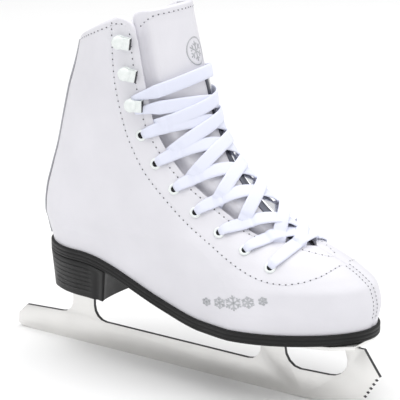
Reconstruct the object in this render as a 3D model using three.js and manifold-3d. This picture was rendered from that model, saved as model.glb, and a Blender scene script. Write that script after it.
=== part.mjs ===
// One figure skate for the right foot: a laced white boot on a stacked heel, with a steel blade
// screwed under it. Millimetres, +X to the toe, +Y to the inner (medial) side of the foot, +Z up.
// The lowest line of the blade, where it meets the ice, is at z = 0.
import * as THREE from 'three';
import { mergeVertices } from 'three/addons/utils/BufferGeometryUtils.js';
import Module from 'manifold-3d';

const wasm = await Module();
wasm.setup();

// ---------- driving dimensions ----------
const GAP = 0.3;                  // clearance between pieces that touch
const SKATE_LENGTH = 324;         // from the blade's tail, at x = 0, to its top toe pick
const BOOT_HEIGHT = 265;          // from the ice to the collar's highest point

// The stations below are drawn for a skate of these sizes. A longer skate spreads them along its
// length, and a taller boot spreads those above the ankle up its shaft; widths, walls and fittings
// keep their own sizes.
const DRAWN_LENGTH = 324;
const DRAWN_HEIGHT = 265;
const ANKLE = 140;
const station = (x) => (x * SKATE_LENGTH) / DRAWN_LENGTH;
const SHAFT_STRETCH = (BOOT_HEIGHT - ANKLE) / (DRAWN_HEIGHT - ANKLE);
const shaft = (z) => (z > ANKLE ? ANKLE + (z - ANKLE) * SHAFT_STRETCH : z);

// sole and heel
const SOLE_THICKNESS = 8;
const CEMENT_GAP = 0.8;           // from the sole's top face up to the upper's lowest edge
const SOLE_TOP_FRONT = 56.5;      // height of the sole's top face under the ball and toes
const HEEL_SEAT = 86;             // height of the sole's top face under the heel
const SHANK_START = station(86);    // x where the sole starts to fall from the heel seat
const SHANK_END = station(200);     // x where it reaches the front height
const TOE_SPRING = 2.5;             // how far the sole turns up at the toe
const TOE_SPRING_FROM = station(210);
const TOE_SPRING_TO = station(320);
const SOLE_LIP = 2;               // how far the sole stands out past the upper
const HEEL_BREAST_TOP = station(111); // x of the heel's front face at its top
const HEEL_BREAST_SLOPE = 7;      // how much further back that face is at the heel's foot
const HEEL_BREAST_HOLLOW = 3;     // how far the middle of that face lies behind its corners
const HEEL_BACK_TAPER = 0.5;       // how far the heel's back leans in at its foot
const HEEL_SIDE_TAPER = 7;         // how much narrower the heel is at its foot, each side
const HEEL_RIBS = 5;
const HEEL_RIB_DEPTH = 0.7;
const RIB_LAND = 0.72;            // shares of a rib's height: its face, and its groove's two edges
const GROOVE_START = 0.78;
const GROOVE_END = 0.94;

// blade and its plates
const BLADE_THICKNESS = 3;
const PLATE_THICKNESS = 2.6;
const RAIL_HEIGHT = 20;
const TAIL_HEIGHT = 19;
const HEEL_POST_REAR = station(55); // x of each post's rear edge
const MID_POST_REAR = station(226);
const TOE_POST_REAR = station(297);
const POST_WIDTH = 20;
const TOE_POST_WIDTH = 14;
const POST_FILLET = 11;
const WINDOW_FILLET = [13, 14];   // the front window's rear fillet: along and up
const TOE_FILLET = [15, 13];      // its front fillet, which runs on up the toe post
const TOE_FILLET_END = 0.45;      // angle where that fillet meets the post's slope
const WINDOW_SILL = 15;           // from the rail's top to the front window's fillet centres
const TOE_TIP_HEIGHT = 29;
const DRAG_PICK_SETBACK = 11;     // from the top toe pick back to the lowest one
const DRAG_PICK_X = SKATE_LENGTH - DRAG_PICK_SETBACK;
const DRAG_PICK_HEIGHT = 11.5;
const TOE_PICKS = 5;
const PICK_NOTCH = [1.8, 0.35];   // each notch: how far in, and at what share of the pick's height
const ROCKER_LENGTH = 62;         // the edge's rise in front of its lowest line
const ROCKER_START = DRAG_PICK_X - ROCKER_LENGTH;
const ROCKER_POWER = 1.8;
const ROCKER_STEP = 11;
const TAIL_CURVE = [[9, TAIL_HEIGHT], [1, 11], [0, 3], [4, 0.8], [14, 0]];
const SCREW_HEAD_RADIUS = 3.6;
const SCREW_HEAD_HEIGHT = 1.6;
const SCREW_SHANK_RADIUS = 1.7;
const SCREW_LENGTH = 7.5;
const SCREW_POINT = 2;            // length of its point
const SCREW_HOLE_CLEARANCE = 0.4;

// upper
const LEATHER = 2.2;
const STIFFENER = 1.2;
const LAYER_GAP = 0.8;            // between the leather, the stiffeners and the lining
const LINING_THIN = 1.4;
const LINING_PADDED = 6;
const TONGUE_THICKNESS = 5;
const RIM_DROP = 23;              // from the collar's highest point down to its back
const RIM_BACK = BOOT_HEIGHT - RIM_DROP;
const RIM_SLOPE = 0.44;           // rise of the collar towards the front
const RIM_CORNER = 12;            // radius of the collar's front corners
const THROAT_FOOT = 109;          // height of the lowest point of the lacing throat
const TONGUE_FOOT = 103;
const TONGUE_RISE = 4;            // how far the tongue stands out of the collar
const TONGUE_TOP = BOOT_HEIGHT + TONGUE_RISE;
const TONGUE_FREE = 35;           // length of the tongue's top that is free to bend
const TONGUE_JOINT = TONGUE_TOP - TONGUE_FREE;
const TONGUE_CORNER = [10, 9];    // its rounded top corners: height and width
const BACKSTAY_HALF = 18;         // half width of the strip over the back seam
const BACKSTAY_LIFT = 0.5;        // gap under that strip
const FILM_THICKNESS = 0.9;
const STRIP_HALF = 8;             // half width of the bright strip down the tongue
const STRIP_TOP = TONGUE_JOINT - 12;
const STRIP_PROUD = 1.6;          // height of its face above the tongue's
const STRIP_THICKNESS = 0.7;
const STRIP_SHIFT = 13;           // how far the strip drifts to the inner side at the ankle
const STRIP_SHIFT_FROM = 125;     // height where it starts to drift, and over what rise
const STRIP_SHIFT_RISE = 65;

// lacing
const EYELETS = 7;
const HOOKS = 3;
const LACE_PITCH = 22.4;          // from one eyelet or hook to the next, along the facing
const EYELET_SETBACK = 34.5;      // from the front of the instep back to the eyelet row
const LOWEST_EYELET = 102.3;      // height
const EYELET_HOLE = 2.3;          // inner radius
const EYELET_BARREL = 2.8;        // outer radius of the barrel
const EYELET_FLANGE = 4.2;
const HOOK_RADIUS = 5.2;
const HOOK_POST = 1.6;
const HOOK_WIDTH = 6.4;
const LACE_WIDTH = 9;
const LACE_THICKNESS = 1.3;
const AGLET_RADIUS = 1.6;
const AGLET_LENGTH = 18;
const TAIL_LENGTH = 60;
const TAIL_SPACING = 13;          // between the lace's two ends inside the boot
const TAIL_SETBACK = station(34); // from the boot's back to the first of them
const TAIL_CLEARANCE = 9;         // from them to the padded lining

// The boot's last, as drawn: level sections from the feather line to the collar. Each gives its height, its
// back and front x, how long its rounded back and front ends are, and its half width at the heel,
// the waist and the ball (at fixed shares of its length).
const SECTION = [
  { z: 56, back: 44, front: 308, backCap: 38, frontCap: 74, heel: 31, waist: 31, ball: 44 },
  { z: 70, back: 42, front: 310, backCap: 38, frontCap: 72, heel: 33, waist: 34, ball: 46 },
  { z: 84, back: 41, front: 307, backCap: 38, frontCap: 72, heel: 34, waist: 35, ball: 45.5 },
  { z: 93, back: 40, front: 299, backCap: 38, frontCap: 78, heel: 34, waist: 36, ball: 44 },
  { z: 102, back: 39, front: 286, backCap: 38, frontCap: 84, heel: 34, waist: 37, ball: 42 },
  { z: 112, back: 39, front: 265, backCap: 38, frontCap: 84, heel: 34, waist: 38, ball: 40 },
  { z: 124, back: 40.5, front: 239, backCap: 38, frontCap: 78, heel: 34, waist: 38, ball: 38 },
  { z: 140, back: 45, front: 216, backCap: 40, frontCap: 70, heel: 34, waist: 37, ball: 37 },
  { z: 160, back: 51, front: 194, backCap: 43, frontCap: 60, heel: 33.5, waist: 36, ball: 36 },
  { z: 185, back: 57, front: 178, backCap: 46, frontCap: 53, heel: 34, waist: 36.5, ball: 36 },
  { z: 215, back: 65, front: 170, backCap: 48, frontCap: 50, heel: 36, waist: 38, ball: 37 },
  { z: 254, back: 76, front: 161, backCap: 42, frontCap: 42, heel: 38, waist: 40, ball: 38 },
  { z: 280, back: 84, front: 155, backCap: 36, frontCap: 35, heel: 38, waist: 40, ball: 38 },
];
const HEEL_SHARE = 0.18;
const WAIST_SHARE = 0.45;
const BALL_SHARE = 0.69;
// the foot's centre line: y at the heel, waist, ball and toe tip
const CENTRE = { x: [60, 150, 225, 308].map(station), y: [0, -3, 1.5, 15] };
const CENTRE_FADE_FROM = 110;     // height where the shaft starts to straighten, and over what rise
const CENTRE_FADE = 80;
// half width of the lacing throat by height
const THROAT = {
  z: [THROAT_FOOT, 112, 116, 134, 149, 160, 188, 217, 254].map(shaft),
  half: [0, 13, 20.5, 22.8, 25.4, 27, 29.6, 31, 32.5],
};

// ---------- small helpers ----------
const clamp = (v, lo, hi) => Math.min(hi, Math.max(lo, v));
const smooth = (v) => { const t = clamp(v, 0, 1); return t * t * (3 - 2 * t); };
const mix = (a, b, t) => a + (b - a) * t;

// monotone cubic through (xs, ys), held constant past both ends
function spline(xs, ys, x) {
  const last = xs.length - 1;
  if (x <= xs[0]) return ys[0];
  if (x >= xs[last]) return ys[last];
  let i = 0;
  while (x > xs[i + 1]) i += 1;
  const slope = (k) => (ys[k + 1] - ys[k]) / (xs[k + 1] - xs[k]);
  const tangent = (k) => {
    if (k === 0) return slope(0);
    if (k === last) return slope(last - 1);
    const a = slope(k - 1);
    const b = slope(k);
    return a * b <= 0 ? 0 : (2 * a * b) / (a + b);
  };
  const h = xs[i + 1] - xs[i];
  const t = (x - xs[i]) / h;
  const t2 = t * t;
  const t3 = t2 * t;
  return (2 * t3 - 3 * t2 + 1) * ys[i] + (t3 - 2 * t2 + t) * h * tangent(i)
    + (3 * t2 - 2 * t3) * ys[i + 1] + (t3 - t2) * h * tangent(i + 1);
}

const SECTION_Z = SECTION.map((s) => shaft(s.z));
const SECTION_VALUES = {};
for (const key of ['back', 'front', 'backCap', 'frontCap']) {
  SECTION_VALUES[key] = SECTION.map((s) => station(s[key]));
}
for (const key of ['heel', 'waist', 'ball']) SECTION_VALUES[key] = SECTION.map((s) => s[key]);
const sectionValue = (key, z) => spline(SECTION_Z, SECTION_VALUES[key], z);

function section(z) {
  const s = {};
  for (const key of Object.keys(SECTION_VALUES)) s[key] = sectionValue(key, z);
  return s;
}

function centreLine(x, z) {
  return spline(CENTRE.x, CENTRE.y, x) * (1 - smooth((z - CENTRE_FADE_FROM) / CENTRE_FADE));
}

// ---------- the sole's line and the collar's line ----------
function soleTop(x) {
  const fall = smooth((x - SHANK_START) / (SHANK_END - SHANK_START));
  const spring = smooth((x - TOE_SPRING_FROM) / (TOE_SPRING_TO - TOE_SPRING_FROM));
  return mix(HEEL_SEAT, SOLE_TOP_FRONT, fall) + TOE_SPRING * spring;
}
const throatHalf = (z) => spline(THROAT.z, THROAT.half, z);
const RIM_LEVEL = shaft(254);
const COLLAR_LEVEL = shaft(200);  // from here up, levels bend to follow the collar
const FEATHER_LEVEL = 56;
const FOOT_RISE = 62;             // over this rise, levels stop following the sole

// x on the section at level z where its half width comes down to y, on the front end
function xAtHalfWidth(z, y) {
  const s = section(z);
  const share = clamp(y / s.ball, 0, 1);
  return s.front - s.frontCap * (1 - Math.sqrt(1 - share * share));
}

const rimFrontX = xAtHalfWidth(RIM_LEVEL, throatHalf(RIM_LEVEL));

function rimHeight(x) {
  const straight = Math.min(BOOT_HEIGHT, RIM_BACK + RIM_SLOPE * (x - sectionValue('back', RIM_LEVEL)));
  const into = clamp(x - (rimFrontX - RIM_CORNER), 0, RIM_CORNER);
  return straight - (RIM_CORNER - Math.sqrt(RIM_CORNER * RIM_CORNER - into * into));
}

// real height of level z at x: the lowest level follows the sole, the highest the collar
function levelHeight(level, x) {
  const foot = (soleTop(x) - FEATHER_LEVEL) * (1 - smooth((level - FEATHER_LEVEL) / FOOT_RISE));
  const into = (level - COLLAR_LEVEL) / (RIM_LEVEL - COLLAR_LEVEL);
  const head = level > RIM_LEVEL ? 1 : smooth(into);
  return level + foot + (rimHeight(x) - RIM_LEVEL) * head;
}

// ---------- the upper's outer surface ----------
// turn: 0 at the back seam, PI at the toe or instep, negative on the outer (lateral) side
function rawPoint(turn, level, followRim = true) {
  const s = section(level);
  const length = s.front - s.back;
  const share = (1 - Math.cos(turn)) / 2;
  const x = s.back + length * share;
  const width = spline([HEEL_SHARE, WAIST_SHARE, BALL_SHARE], [s.heel, s.waist, s.ball], share);
  const intoBack = clamp(1 - (x - s.back) / s.backCap, 0, 1);
  const intoFront = clamp(1 - (s.front - x) / s.frontCap, 0, 1);
  const round = Math.sqrt(1 - intoBack * intoBack) * Math.sqrt(1 - intoFront * intoFront);
  const y = centreLine(x, level) + Math.sign(Math.sin(turn)) * width * round;
  const z = followRim ? levelHeight(level, x) : level;
  return new THREE.Vector3(x, y, z);
}

const STEP_TURN = 0.02;
const STEP_LEVEL = 1.5;

// point on the surface, moved outwards by offset
function surface(turn, level, offset = 0, followRim = true) {
  const p = rawPoint(turn, level, followRim);
  const along = rawPoint(turn + STEP_TURN, level, followRim)
    .sub(rawPoint(turn - STEP_TURN, level, followRim));
  const up = rawPoint(turn, level + STEP_LEVEL, followRim)
    .sub(rawPoint(turn, level - STEP_LEVEL, followRim));
  return p.addScaledVector(up.cross(along).normalize(), offset);
}

function surfaceNormal(turn, level) {
  return surface(turn, level, 1).sub(surface(turn, level, 0)).normalize();
}

// turn at which the section at this level is a distance back from its front end
function turnAtSetback(level, setback) {
  const s = section(level);
  return Math.acos(clamp(1 - 2 * (1 - setback / (s.front - s.back)), -1, 1));
}

function throatTurn(level, extra = 0) {
  const half = throatHalf(level) + extra;
  if (half <= 0.05) return Math.PI;
  const s = section(level);
  return turnAtSetback(level, s.front - xAtHalfWidth(level, half));
}

// ---------- closed solids ----------
function closedGeometry(points, triangles) {
  let volume = 0;
  const corner = triangles.map((i) => points[i]);
  for (let i = 0; i < corner.length; i += 3) {
    volume += corner[i].dot(corner[i + 1].clone().cross(corner[i + 2]));
  }
  const index = volume > 0 ? triangles : triangles.slice().reverse();
  const geometry = new THREE.BufferGeometry().setFromPoints(points);
  geometry.setIndex(index);
  return geometry;
}

// solid between two sheets of points, outer[i][j] and inner[i][j]; both grids run alike
function sheetSolid(outer, inner) {
  const rows = outer.length;
  const cols = outer[0].length;
  const points = [...outer.flat(), ...inner.flat()];
  const out = (i, j) => i * cols + j;
  const inn = (i, j) => rows * cols + i * cols + j;
  const triangles = [];
  const quad = (a, b, c, d) => triangles.push(a, b, c, a, c, d);
  for (let i = 0; i < rows - 1; i += 1) {
    for (let j = 0; j < cols - 1; j += 1) {
      quad(out(i, j), out(i, j + 1), out(i + 1, j + 1), out(i + 1, j));
      quad(inn(i, j), inn(i + 1, j), inn(i + 1, j + 1), inn(i, j + 1));
    }
    quad(out(i, 0), out(i + 1, 0), inn(i + 1, 0), inn(i, 0));
    quad(out(i + 1, cols - 1), out(i, cols - 1), inn(i, cols - 1), inn(i + 1, cols - 1));
  }
  for (let j = 0; j < cols - 1; j += 1) {
    quad(out(0, j + 1), out(0, j), inn(0, j), inn(0, j + 1));
    quad(out(rows - 1, j), out(rows - 1, j + 1), inn(rows - 1, j + 1), inn(rows - 1, j));
  }
  return closedGeometry(points, triangles);
}

// solid through closed level rings of points, all with the same count, capped at both ends
function ringSolid(levelRings) {
  const flat = (ring) => ring.map((p) => new THREE.Vector2(p.x, p.y));
  const clockwise = THREE.ShapeUtils.area(flat(levelRings[0])) < 0;
  const rings = clockwise ? levelRings.map((ring) => ring.slice().reverse()) : levelRings;
  const count = rings[0].length;
  const triangles = [];
  for (let i = 0; i < rings.length - 1; i += 1) {
    for (let j = 0; j < count; j += 1) {
      const k = (j + 1) % count;
      const a = i * count + j;
      const b = i * count + k;
      triangles.push(a, b, b + count, a, b + count, a + count);
    }
  }
  const cap = (row, facesUp) => {
    const outline = flat(rings[row]);
    for (const [a, b, c] of THREE.ShapeUtils.triangulateShape(outline, [])) {
      const counter = THREE.ShapeUtils.area([outline[a], outline[b], outline[c]]) > 0;
      const base = row * count;
      if (counter === facesUp) triangles.push(base + a, base + b, base + c);
      else triangles.push(base + a, base + c, base + b);
    }
  };
  cap(0, false);
  cap(rings.length - 1, true);
  return closedGeometry(rings.flat(), triangles);
}

function toManifold(geometry) {
  const bare = geometry.clone();
  bare.deleteAttribute('normal');
  bare.deleteAttribute('uv');
  const merged = mergeVertices(bare, 1e-4);
  return new wasm.Manifold(new wasm.Mesh({
    numProp: 3,
    vertProperties: Float32Array.from(merged.attributes.position.array),
    triVerts: Uint32Array.from(merged.index.array),
  }));
}

function fromManifold(solid) {
  const mesh = solid.getMesh();
  const geometry = new THREE.BufferGeometry();
  geometry.setAttribute('position', new THREE.BufferAttribute(mesh.vertProperties, 3));
  geometry.setIndex(new THREE.BufferAttribute(mesh.triVerts, 1));
  return geometry;
}

function cut(geometry, cutters) {
  let solid = toManifold(geometry);
  for (const cutter of cutters) solid = solid.subtract(toManifold(cutter));
  return fromManifold(solid);
}

function join(geometries) {
  let solid = toManifold(geometries[0]);
  for (const geometry of geometries.slice(1)) solid = solid.add(toManifold(geometry));
  return fromManifold(solid);
}

// the same solid without the hollows sealed inside it
function filled(geometry) {
  const index = geometry.index.array;
  const at = geometry.attributes.position;
  const parent = Array.from({ length: at.count }, (_, i) => i);
  const root = (i) => {
    let r = i;
    while (parent[r] !== r) r = parent[r];
    parent[i] = r;
    return r;
  };
  for (let i = 0; i < index.length; i += 3) {
    parent[root(index[i])] = root(index[i + 1]);
    parent[root(index[i + 1])] = root(index[i + 2]);
  }
  const point = (i) => new THREE.Vector3().fromBufferAttribute(at, i);
  const volume = {};
  for (let i = 0; i < index.length; i += 3) {
    const shell = root(index[i]);
    const [a, b, c] = [point(index[i]), point(index[i + 1]), point(index[i + 2])];
    volume[shell] = (volume[shell] ?? 0) + a.dot(b.cross(c));
  }
  const kept = [];
  for (let i = 0; i < index.length; i += 3) {
    if (volume[root(index[i])] > 0) kept.push(index[i], index[i + 1], index[i + 2]);
  }
  const solid = geometry.clone();
  solid.setIndex(kept);
  return solid;
}

// a cylinder of this radius from one point to another
function rod(from, to, radius, sides = 12) {
  const axis = to.clone().sub(from);
  const geometry = new THREE.CylinderGeometry(radius, radius, axis.length(), sides);
  const turn = new THREE.Quaternion().setFromUnitVectors(new THREE.Vector3(0, 1, 0), axis.normalize());
  geometry.applyQuaternion(turn);
  geometry.translate((from.x + to.x) / 2, (from.y + to.y) / 2, (from.z + to.z) / 2);
  return geometry;
}

// ---------- the group ----------
const skate = new THREE.Group();

function piece(name, geometry, color, roughness, metalness = 0) {
  const mesh = new THREE.Mesh(geometry, new THREE.MeshStandardMaterial({ color, roughness, metalness }));
  mesh.name = name;
  skate.add(mesh);
  return mesh;
}

const SIDES = [['lateral', -1], ['medial', 1]];
const WHITE = 0xe9e9ee;
const LINING = 0xdcdce0;
const BLACK = 0x2c2b2d;
const STEEL = 0xb9b9b8;
const SILVER = 0xc9cacd;
const BOARD = 0x9a7f5c;

// ---------- sole, heel and inner boards ----------
const BOARD_ROWS = 26;
const BOARD_COLUMNS = 2;
const END_TURN = 0.03;            // boards stop this short of the very tips, where they have no width

// point on the last's outline at the feather line, moved outwards by grow
function outlinePoint(turn, grow) {
  const p = rawPoint(turn, FEATHER_LEVEL);
  const before = rawPoint(turn - STEP_TURN / 2, FEATHER_LEVEL);
  const after = rawPoint(turn + STEP_TURN / 2, FEATHER_LEVEL);
  const along = new THREE.Vector2(after.x - before.x, after.y - before.y).normalize();
  return new THREE.Vector2(p.x - along.y * grow, p.y + along.x * grow);
}

// a board that follows the sole's line, between two heights above the sole's top face
function soleBoard(grow, low, high) {
  const grid = (lift) => {
    const rows = [];
    for (let i = 0; i <= BOARD_ROWS; i += 1) {
      const turn = mix(END_TURN, Math.PI - END_TURN, i / BOARD_ROWS);
      const near = outlinePoint(-turn, grow);
      const far = outlinePoint(turn, grow);
      const row = [];
      for (let j = 0; j <= BOARD_COLUMNS; j += 1) {
        const x = mix(near.x, far.x, j / BOARD_COLUMNS);
        row.push(new THREE.Vector3(x, mix(near.y, far.y, j / BOARD_COLUMNS), soleTop(x) + lift));
      }
      rows.push(row);
    }
    return rows;
  };
  return sheetSolid(grid(high), grid(low));
}

function addSole() {
  const board = soleBoard(SOLE_LIP, -SOLE_THICKNESS - CEMENT_GAP, -CEMENT_GAP);
  return piece('outsole', cut(board, screwBores(FRONT_SCREWS)), BLACK, 0.45);
}

// the heel: the sole's outline back from the breast, tapering down to its foot
const PLATE_TOP = SOLE_TOP_FRONT - SOLE_THICKNESS - CEMENT_GAP - GAP;
const HEEL_STEPS = 14;

function heelRing(share, dent) {
  const foot = PLATE_TOP + GAP;
  const breast = HEEL_BREAST_TOP - HEEL_BREAST_SLOPE * (1 - share);
  const s = section(FEATHER_LEVEL);
  const reach = Math.acos(1 - (2 * (breast - s.back)) / (s.front - s.back));
  const back = SOLE_LIP - (1 - share) * HEEL_BACK_TAPER - dent;
  const side = SOLE_LIP - (1 - share) * HEEL_SIDE_TAPER - dent;
  const middle = (s.back + breast) / 2;
  const wall = [];
  for (let i = 0; i <= HEEL_STEPS; i += 1) {
    const p = rawPoint(mix(-reach, reach, i / HEEL_STEPS), FEATHER_LEVEL);
    const x = middle + (p.x - middle) * (1 + (p.x < middle ? back / (middle - s.back) : 0));
    wall.push(new THREE.Vector2(x, p.y * (1 + side / s.heel)));
  }
  const near = wall[0].y;
  const far = wall[HEEL_STEPS].y;
  const hollow = breast - HEEL_BREAST_HOLLOW;
  const front = [0.75, 0.5, 0.25].map((t) => new THREE.Vector2(hollow, mix(near, far, t)));
  return [...wall, ...front].map((p) => {
    const top = soleTop(p.x) - SOLE_THICKNESS - CEMENT_GAP - GAP;
    return new THREE.Vector3(p.x, p.y, mix(foot, top, share));
  });
}

function addHeel() {
  const rings = [];
  for (let i = 0; i < HEEL_RIBS; i += 1) {
    const at = (part) => (i + part) / HEEL_RIBS;
    rings.push(heelRing(at(0), 0), heelRing(at(RIB_LAND), 0));
    if (i < HEEL_RIBS - 1) {
      rings.push(heelRing(at(GROOVE_START), HEEL_RIB_DEPTH), heelRing(at(GROOVE_END), HEEL_RIB_DEPTH));
    }
  }
  rings.push(heelRing(1, 0));
  return piece('heel_block', cut(ringSolid(rings), screwBores(HEEL_SCREWS)), BLACK, 0.4);
}

const BOARD_INSET = -(LEATHER + 2 * LAYER_GAP + LINING_THIN + STIFFENER);
const BOARD_THICKNESS = 2.4;
const BOARD_CLEARANCE = 0.6;
const BED_THICKNESS = 3.2;
const BED_CLEARANCE = 3.5;

function addBoards() {
  piece('insole_board', soleBoard(BOARD_INSET - BOARD_CLEARANCE, GAP, BOARD_THICKNESS), BOARD, 0.8);
  const bed = BOARD_THICKNESS + GAP;
  piece('footbed', soleBoard(BOARD_INSET - BED_CLEARANCE, bed, bed + BED_THICKNESS), LINING, 0.9);
}

// ---------- blade, plates and screws ----------
// fillet between a level line and an upright, as a quarter ellipse of points
function fillet(cx, cz, rx, rz, from, to, steps = 4) {
  const points = [];
  for (let i = 0; i <= steps; i += 1) {
    const angle = mix(from, to, i / steps);
    points.push(new THREE.Vector2(cx + rx * Math.cos(angle), cz + rz * Math.sin(angle)));
  }
  return points;
}

function rockerHeight(x) {
  return DRAG_PICK_HEIGHT * Math.max(0, (x - ROCKER_START) / ROCKER_LENGTH) ** ROCKER_POWER;
}

function bladeOutline() {
  const HALF = Math.PI / 2;
  const r = POST_FILLET;
  const top = PLATE_TOP - PLATE_THICKNESS - GAP;
  const rail = RAIL_HEIGHT;
  const points = TAIL_CURVE.slice(3).map(([x, z]) => new THREE.Vector2(x, z));
  for (let x = ROCKER_START; x < DRAG_PICK_X - 4; x += ROCKER_STEP) {
    points.push(new THREE.Vector2(x, rockerHeight(x)));
  }
  points.push(new THREE.Vector2(DRAG_PICK_X - 5, rockerHeight(DRAG_PICK_X - 5)));
  points.push(new THREE.Vector2(DRAG_PICK_X, DRAG_PICK_HEIGHT));
  // saw-like picks up the toe, each a step out and a notch in
  const rise = (TOE_TIP_HEIGHT - DRAG_PICK_HEIGHT) / TOE_PICKS;
  const reach = DRAG_PICK_SETBACK / TOE_PICKS;
  for (let i = 0; i < TOE_PICKS; i += 1) {
    const x = DRAG_PICK_X + i * reach;
    const z = DRAG_PICK_HEIGHT + i * rise;
    points.push(new THREE.Vector2(x - PICK_NOTCH[0], z + rise * PICK_NOTCH[1]));
    points.push(new THREE.Vector2(x + reach, z + rise));
  }
  const midFront = MID_POST_REAR + POST_WIDTH;
  const heelFront = HEEL_POST_REAR + POST_WIDTH;
  const sill = rail + WINDOW_SILL;
  points.push(new THREE.Vector2(TOE_POST_REAR + TOE_POST_WIDTH, top));
  points.push(new THREE.Vector2(TOE_POST_REAR - 2, top));
  const toeFillet = [TOE_POST_REAR - TOE_FILLET[0] + 1, sill, ...TOE_FILLET];
  points.push(...fillet(...toeFillet, TOE_FILLET_END, -HALF, 6));
  points.push(...fillet(midFront + WINDOW_FILLET[0], sill, ...WINDOW_FILLET, -HALF, -Math.PI));
  points.push(new THREE.Vector2(midFront, top), new THREE.Vector2(MID_POST_REAR, top));
  points.push(...fillet(MID_POST_REAR - r, rail + r, r, r, 0, -HALF));
  points.push(...fillet(heelFront + r, rail + r, r, r, -HALF, -Math.PI));
  points.push(new THREE.Vector2(heelFront, top), new THREE.Vector2(HEEL_POST_REAR, top));
  points.push(...fillet(HEEL_POST_REAR - r, rail + r + 1, r, r, 0, -HALF));
  for (const [x, z] of TAIL_CURVE.slice(0, 3)) points.push(new THREE.Vector2(x, z));
  return points;
}

function addBlade() {
  const shape = new THREE.Shape(bladeOutline());
  const geometry = new THREE.ExtrudeGeometry(shape, { depth: BLADE_THICKNESS, bevelEnabled: false });
  geometry.rotateX(Math.PI / 2);
  geometry.translate(0, BLADE_THICKNESS / 2, 0);
  return piece('blade', geometry, STEEL, 0.28, 1);
}

const PLATE_STEPS = 7;
const PLATE_LEAST_HALF = 6;
const PLATE_END_SHARE = 0.55;     // a plate's width at its ends, as a share of its middle's
const PLATE_SKEW = 0.5;           // how much of the foot's bend the plates follow

// a mounting plate: the sole's outline, shrunk, between two x, lying under the sole or the heel
function plateShape(fromX, toX, shrink) {
  const near = [];
  const far = [];
  const s = section(FEATHER_LEVEL);
  for (let i = 0; i <= PLATE_STEPS; i += 1) {
    const x = mix(fromX, toX, i / PLATE_STEPS);
    const end = Math.sqrt(1 - Math.abs((2 * i) / PLATE_STEPS - 1) ** 3);
    const share = (x - s.back) / (s.front - s.back);
    const width = spline([HEEL_SHARE, WAIST_SHARE, BALL_SHARE], [s.heel, s.waist, s.ball], share);
    const half = Math.max(PLATE_LEAST_HALF, (width - shrink) * mix(PLATE_END_SHARE, 1, end));
    const middle = centreLine(x, FEATHER_LEVEL) * PLATE_SKEW;
    near.push(new THREE.Vector2(x, middle - half));
    far.unshift(new THREE.Vector2(x, middle + half));
  }
  return [...near, ...far];
}

const FRONT_PLATE = { from: station(208), to: station(307), shrink: 18 };
const HEEL_PLATE = { from: station(52), to: station(95), shrink: 13 };
const FRONT_SCREWS = [[station(217), 15], [station(250), 21], [station(283), 17]];
const HEEL_SCREWS = [[station(62), 9], [station(86), 9]];

function screwPlaces(rows) {
  const places = [];
  for (const [x, y] of rows) {
    const middle = centreLine(x, FEATHER_LEVEL) * PLATE_SKEW;
    places.push([x, middle - y], [x, middle + y]);
  }
  return places;
}

function addPlate(name, plate, rows) {
  const geometry = new THREE.ExtrudeGeometry(
    new THREE.Shape(plateShape(plate.from, plate.to, plate.shrink)),
    { depth: PLATE_THICKNESS, bevelEnabled: false },
  );
  geometry.translate(0, 0, PLATE_TOP - PLATE_THICKNESS);
  const holes = screwPlaces(rows).map(([x, y]) => rod(
    new THREE.Vector3(x, y, PLATE_TOP - PLATE_THICKNESS - 2),
    new THREE.Vector3(x, y, PLATE_TOP + 2),
    SCREW_SHANK_RADIUS + SCREW_HOLE_CLEARANCE,
    10,
  ));
  return piece(name, cut(geometry, holes), STEEL, 0.3, 1);
}

function screwGeometry(x, y) {
  const seat = PLATE_TOP - PLATE_THICKNESS - GAP;
  const profile = [
    [0, seat - SCREW_HEAD_HEIGHT],
    [SCREW_HEAD_RADIUS * 0.7, seat - SCREW_HEAD_HEIGHT],
    [SCREW_HEAD_RADIUS, seat - SCREW_HEAD_HEIGHT * 0.4],
    [SCREW_HEAD_RADIUS, seat],
    [SCREW_SHANK_RADIUS, seat],
    [SCREW_SHANK_RADIUS, seat + SCREW_LENGTH - SCREW_POINT],
    [0, seat + SCREW_LENGTH],
  ].map(([radius, z]) => new THREE.Vector2(radius, z));
  const geometry = new THREE.LatheGeometry(profile, 8);
  geometry.rotateX(Math.PI / 2);
  geometry.translate(x, y, 0);
  return geometry;
}

function screwBores(rows) {
  return screwPlaces(rows).map(([x, y]) => rod(
    new THREE.Vector3(x, y, PLATE_TOP - 1),
    new THREE.Vector3(x, y, PLATE_TOP + SCREW_LENGTH),
    SCREW_SHANK_RADIUS + SCREW_HOLE_CLEARANCE,
    8,
  ));
}

function addScrews(name, rows) {
  screwPlaces(rows).forEach(([x, y], i) => {
    piece(`${name}_${i + 1}`, screwGeometry(x, y), STEEL, 0.35, 1);
  });
}

// ---------- upper ----------
const QUARTER_LEVELS = [
  56, 64, 72, 80, 87, 93, 98, 103, 107, 109.5, 112, 115, 119, 124, 130, 138, 148, 160, 173, 187,
  202, 217, 231, 244, 254,
].map(shaft);
const QUARTER_COLUMNS = 19;

// grid of surface points for one side between two turns, given as functions of the level
function sheet(levels, columns, side, turnFrom, turnTo, offset) {
  return levels.map((level) => {
    const row = [];
    for (let j = 0; j <= columns; j += 1) {
      const turn = side * mix(turnFrom(level), turnTo(level), j / columns);
      row.push(surface(turn, level, offset(turn, level)));
    }
    return row;
  });
}

const SEAM_TURN = 0.006;

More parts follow.
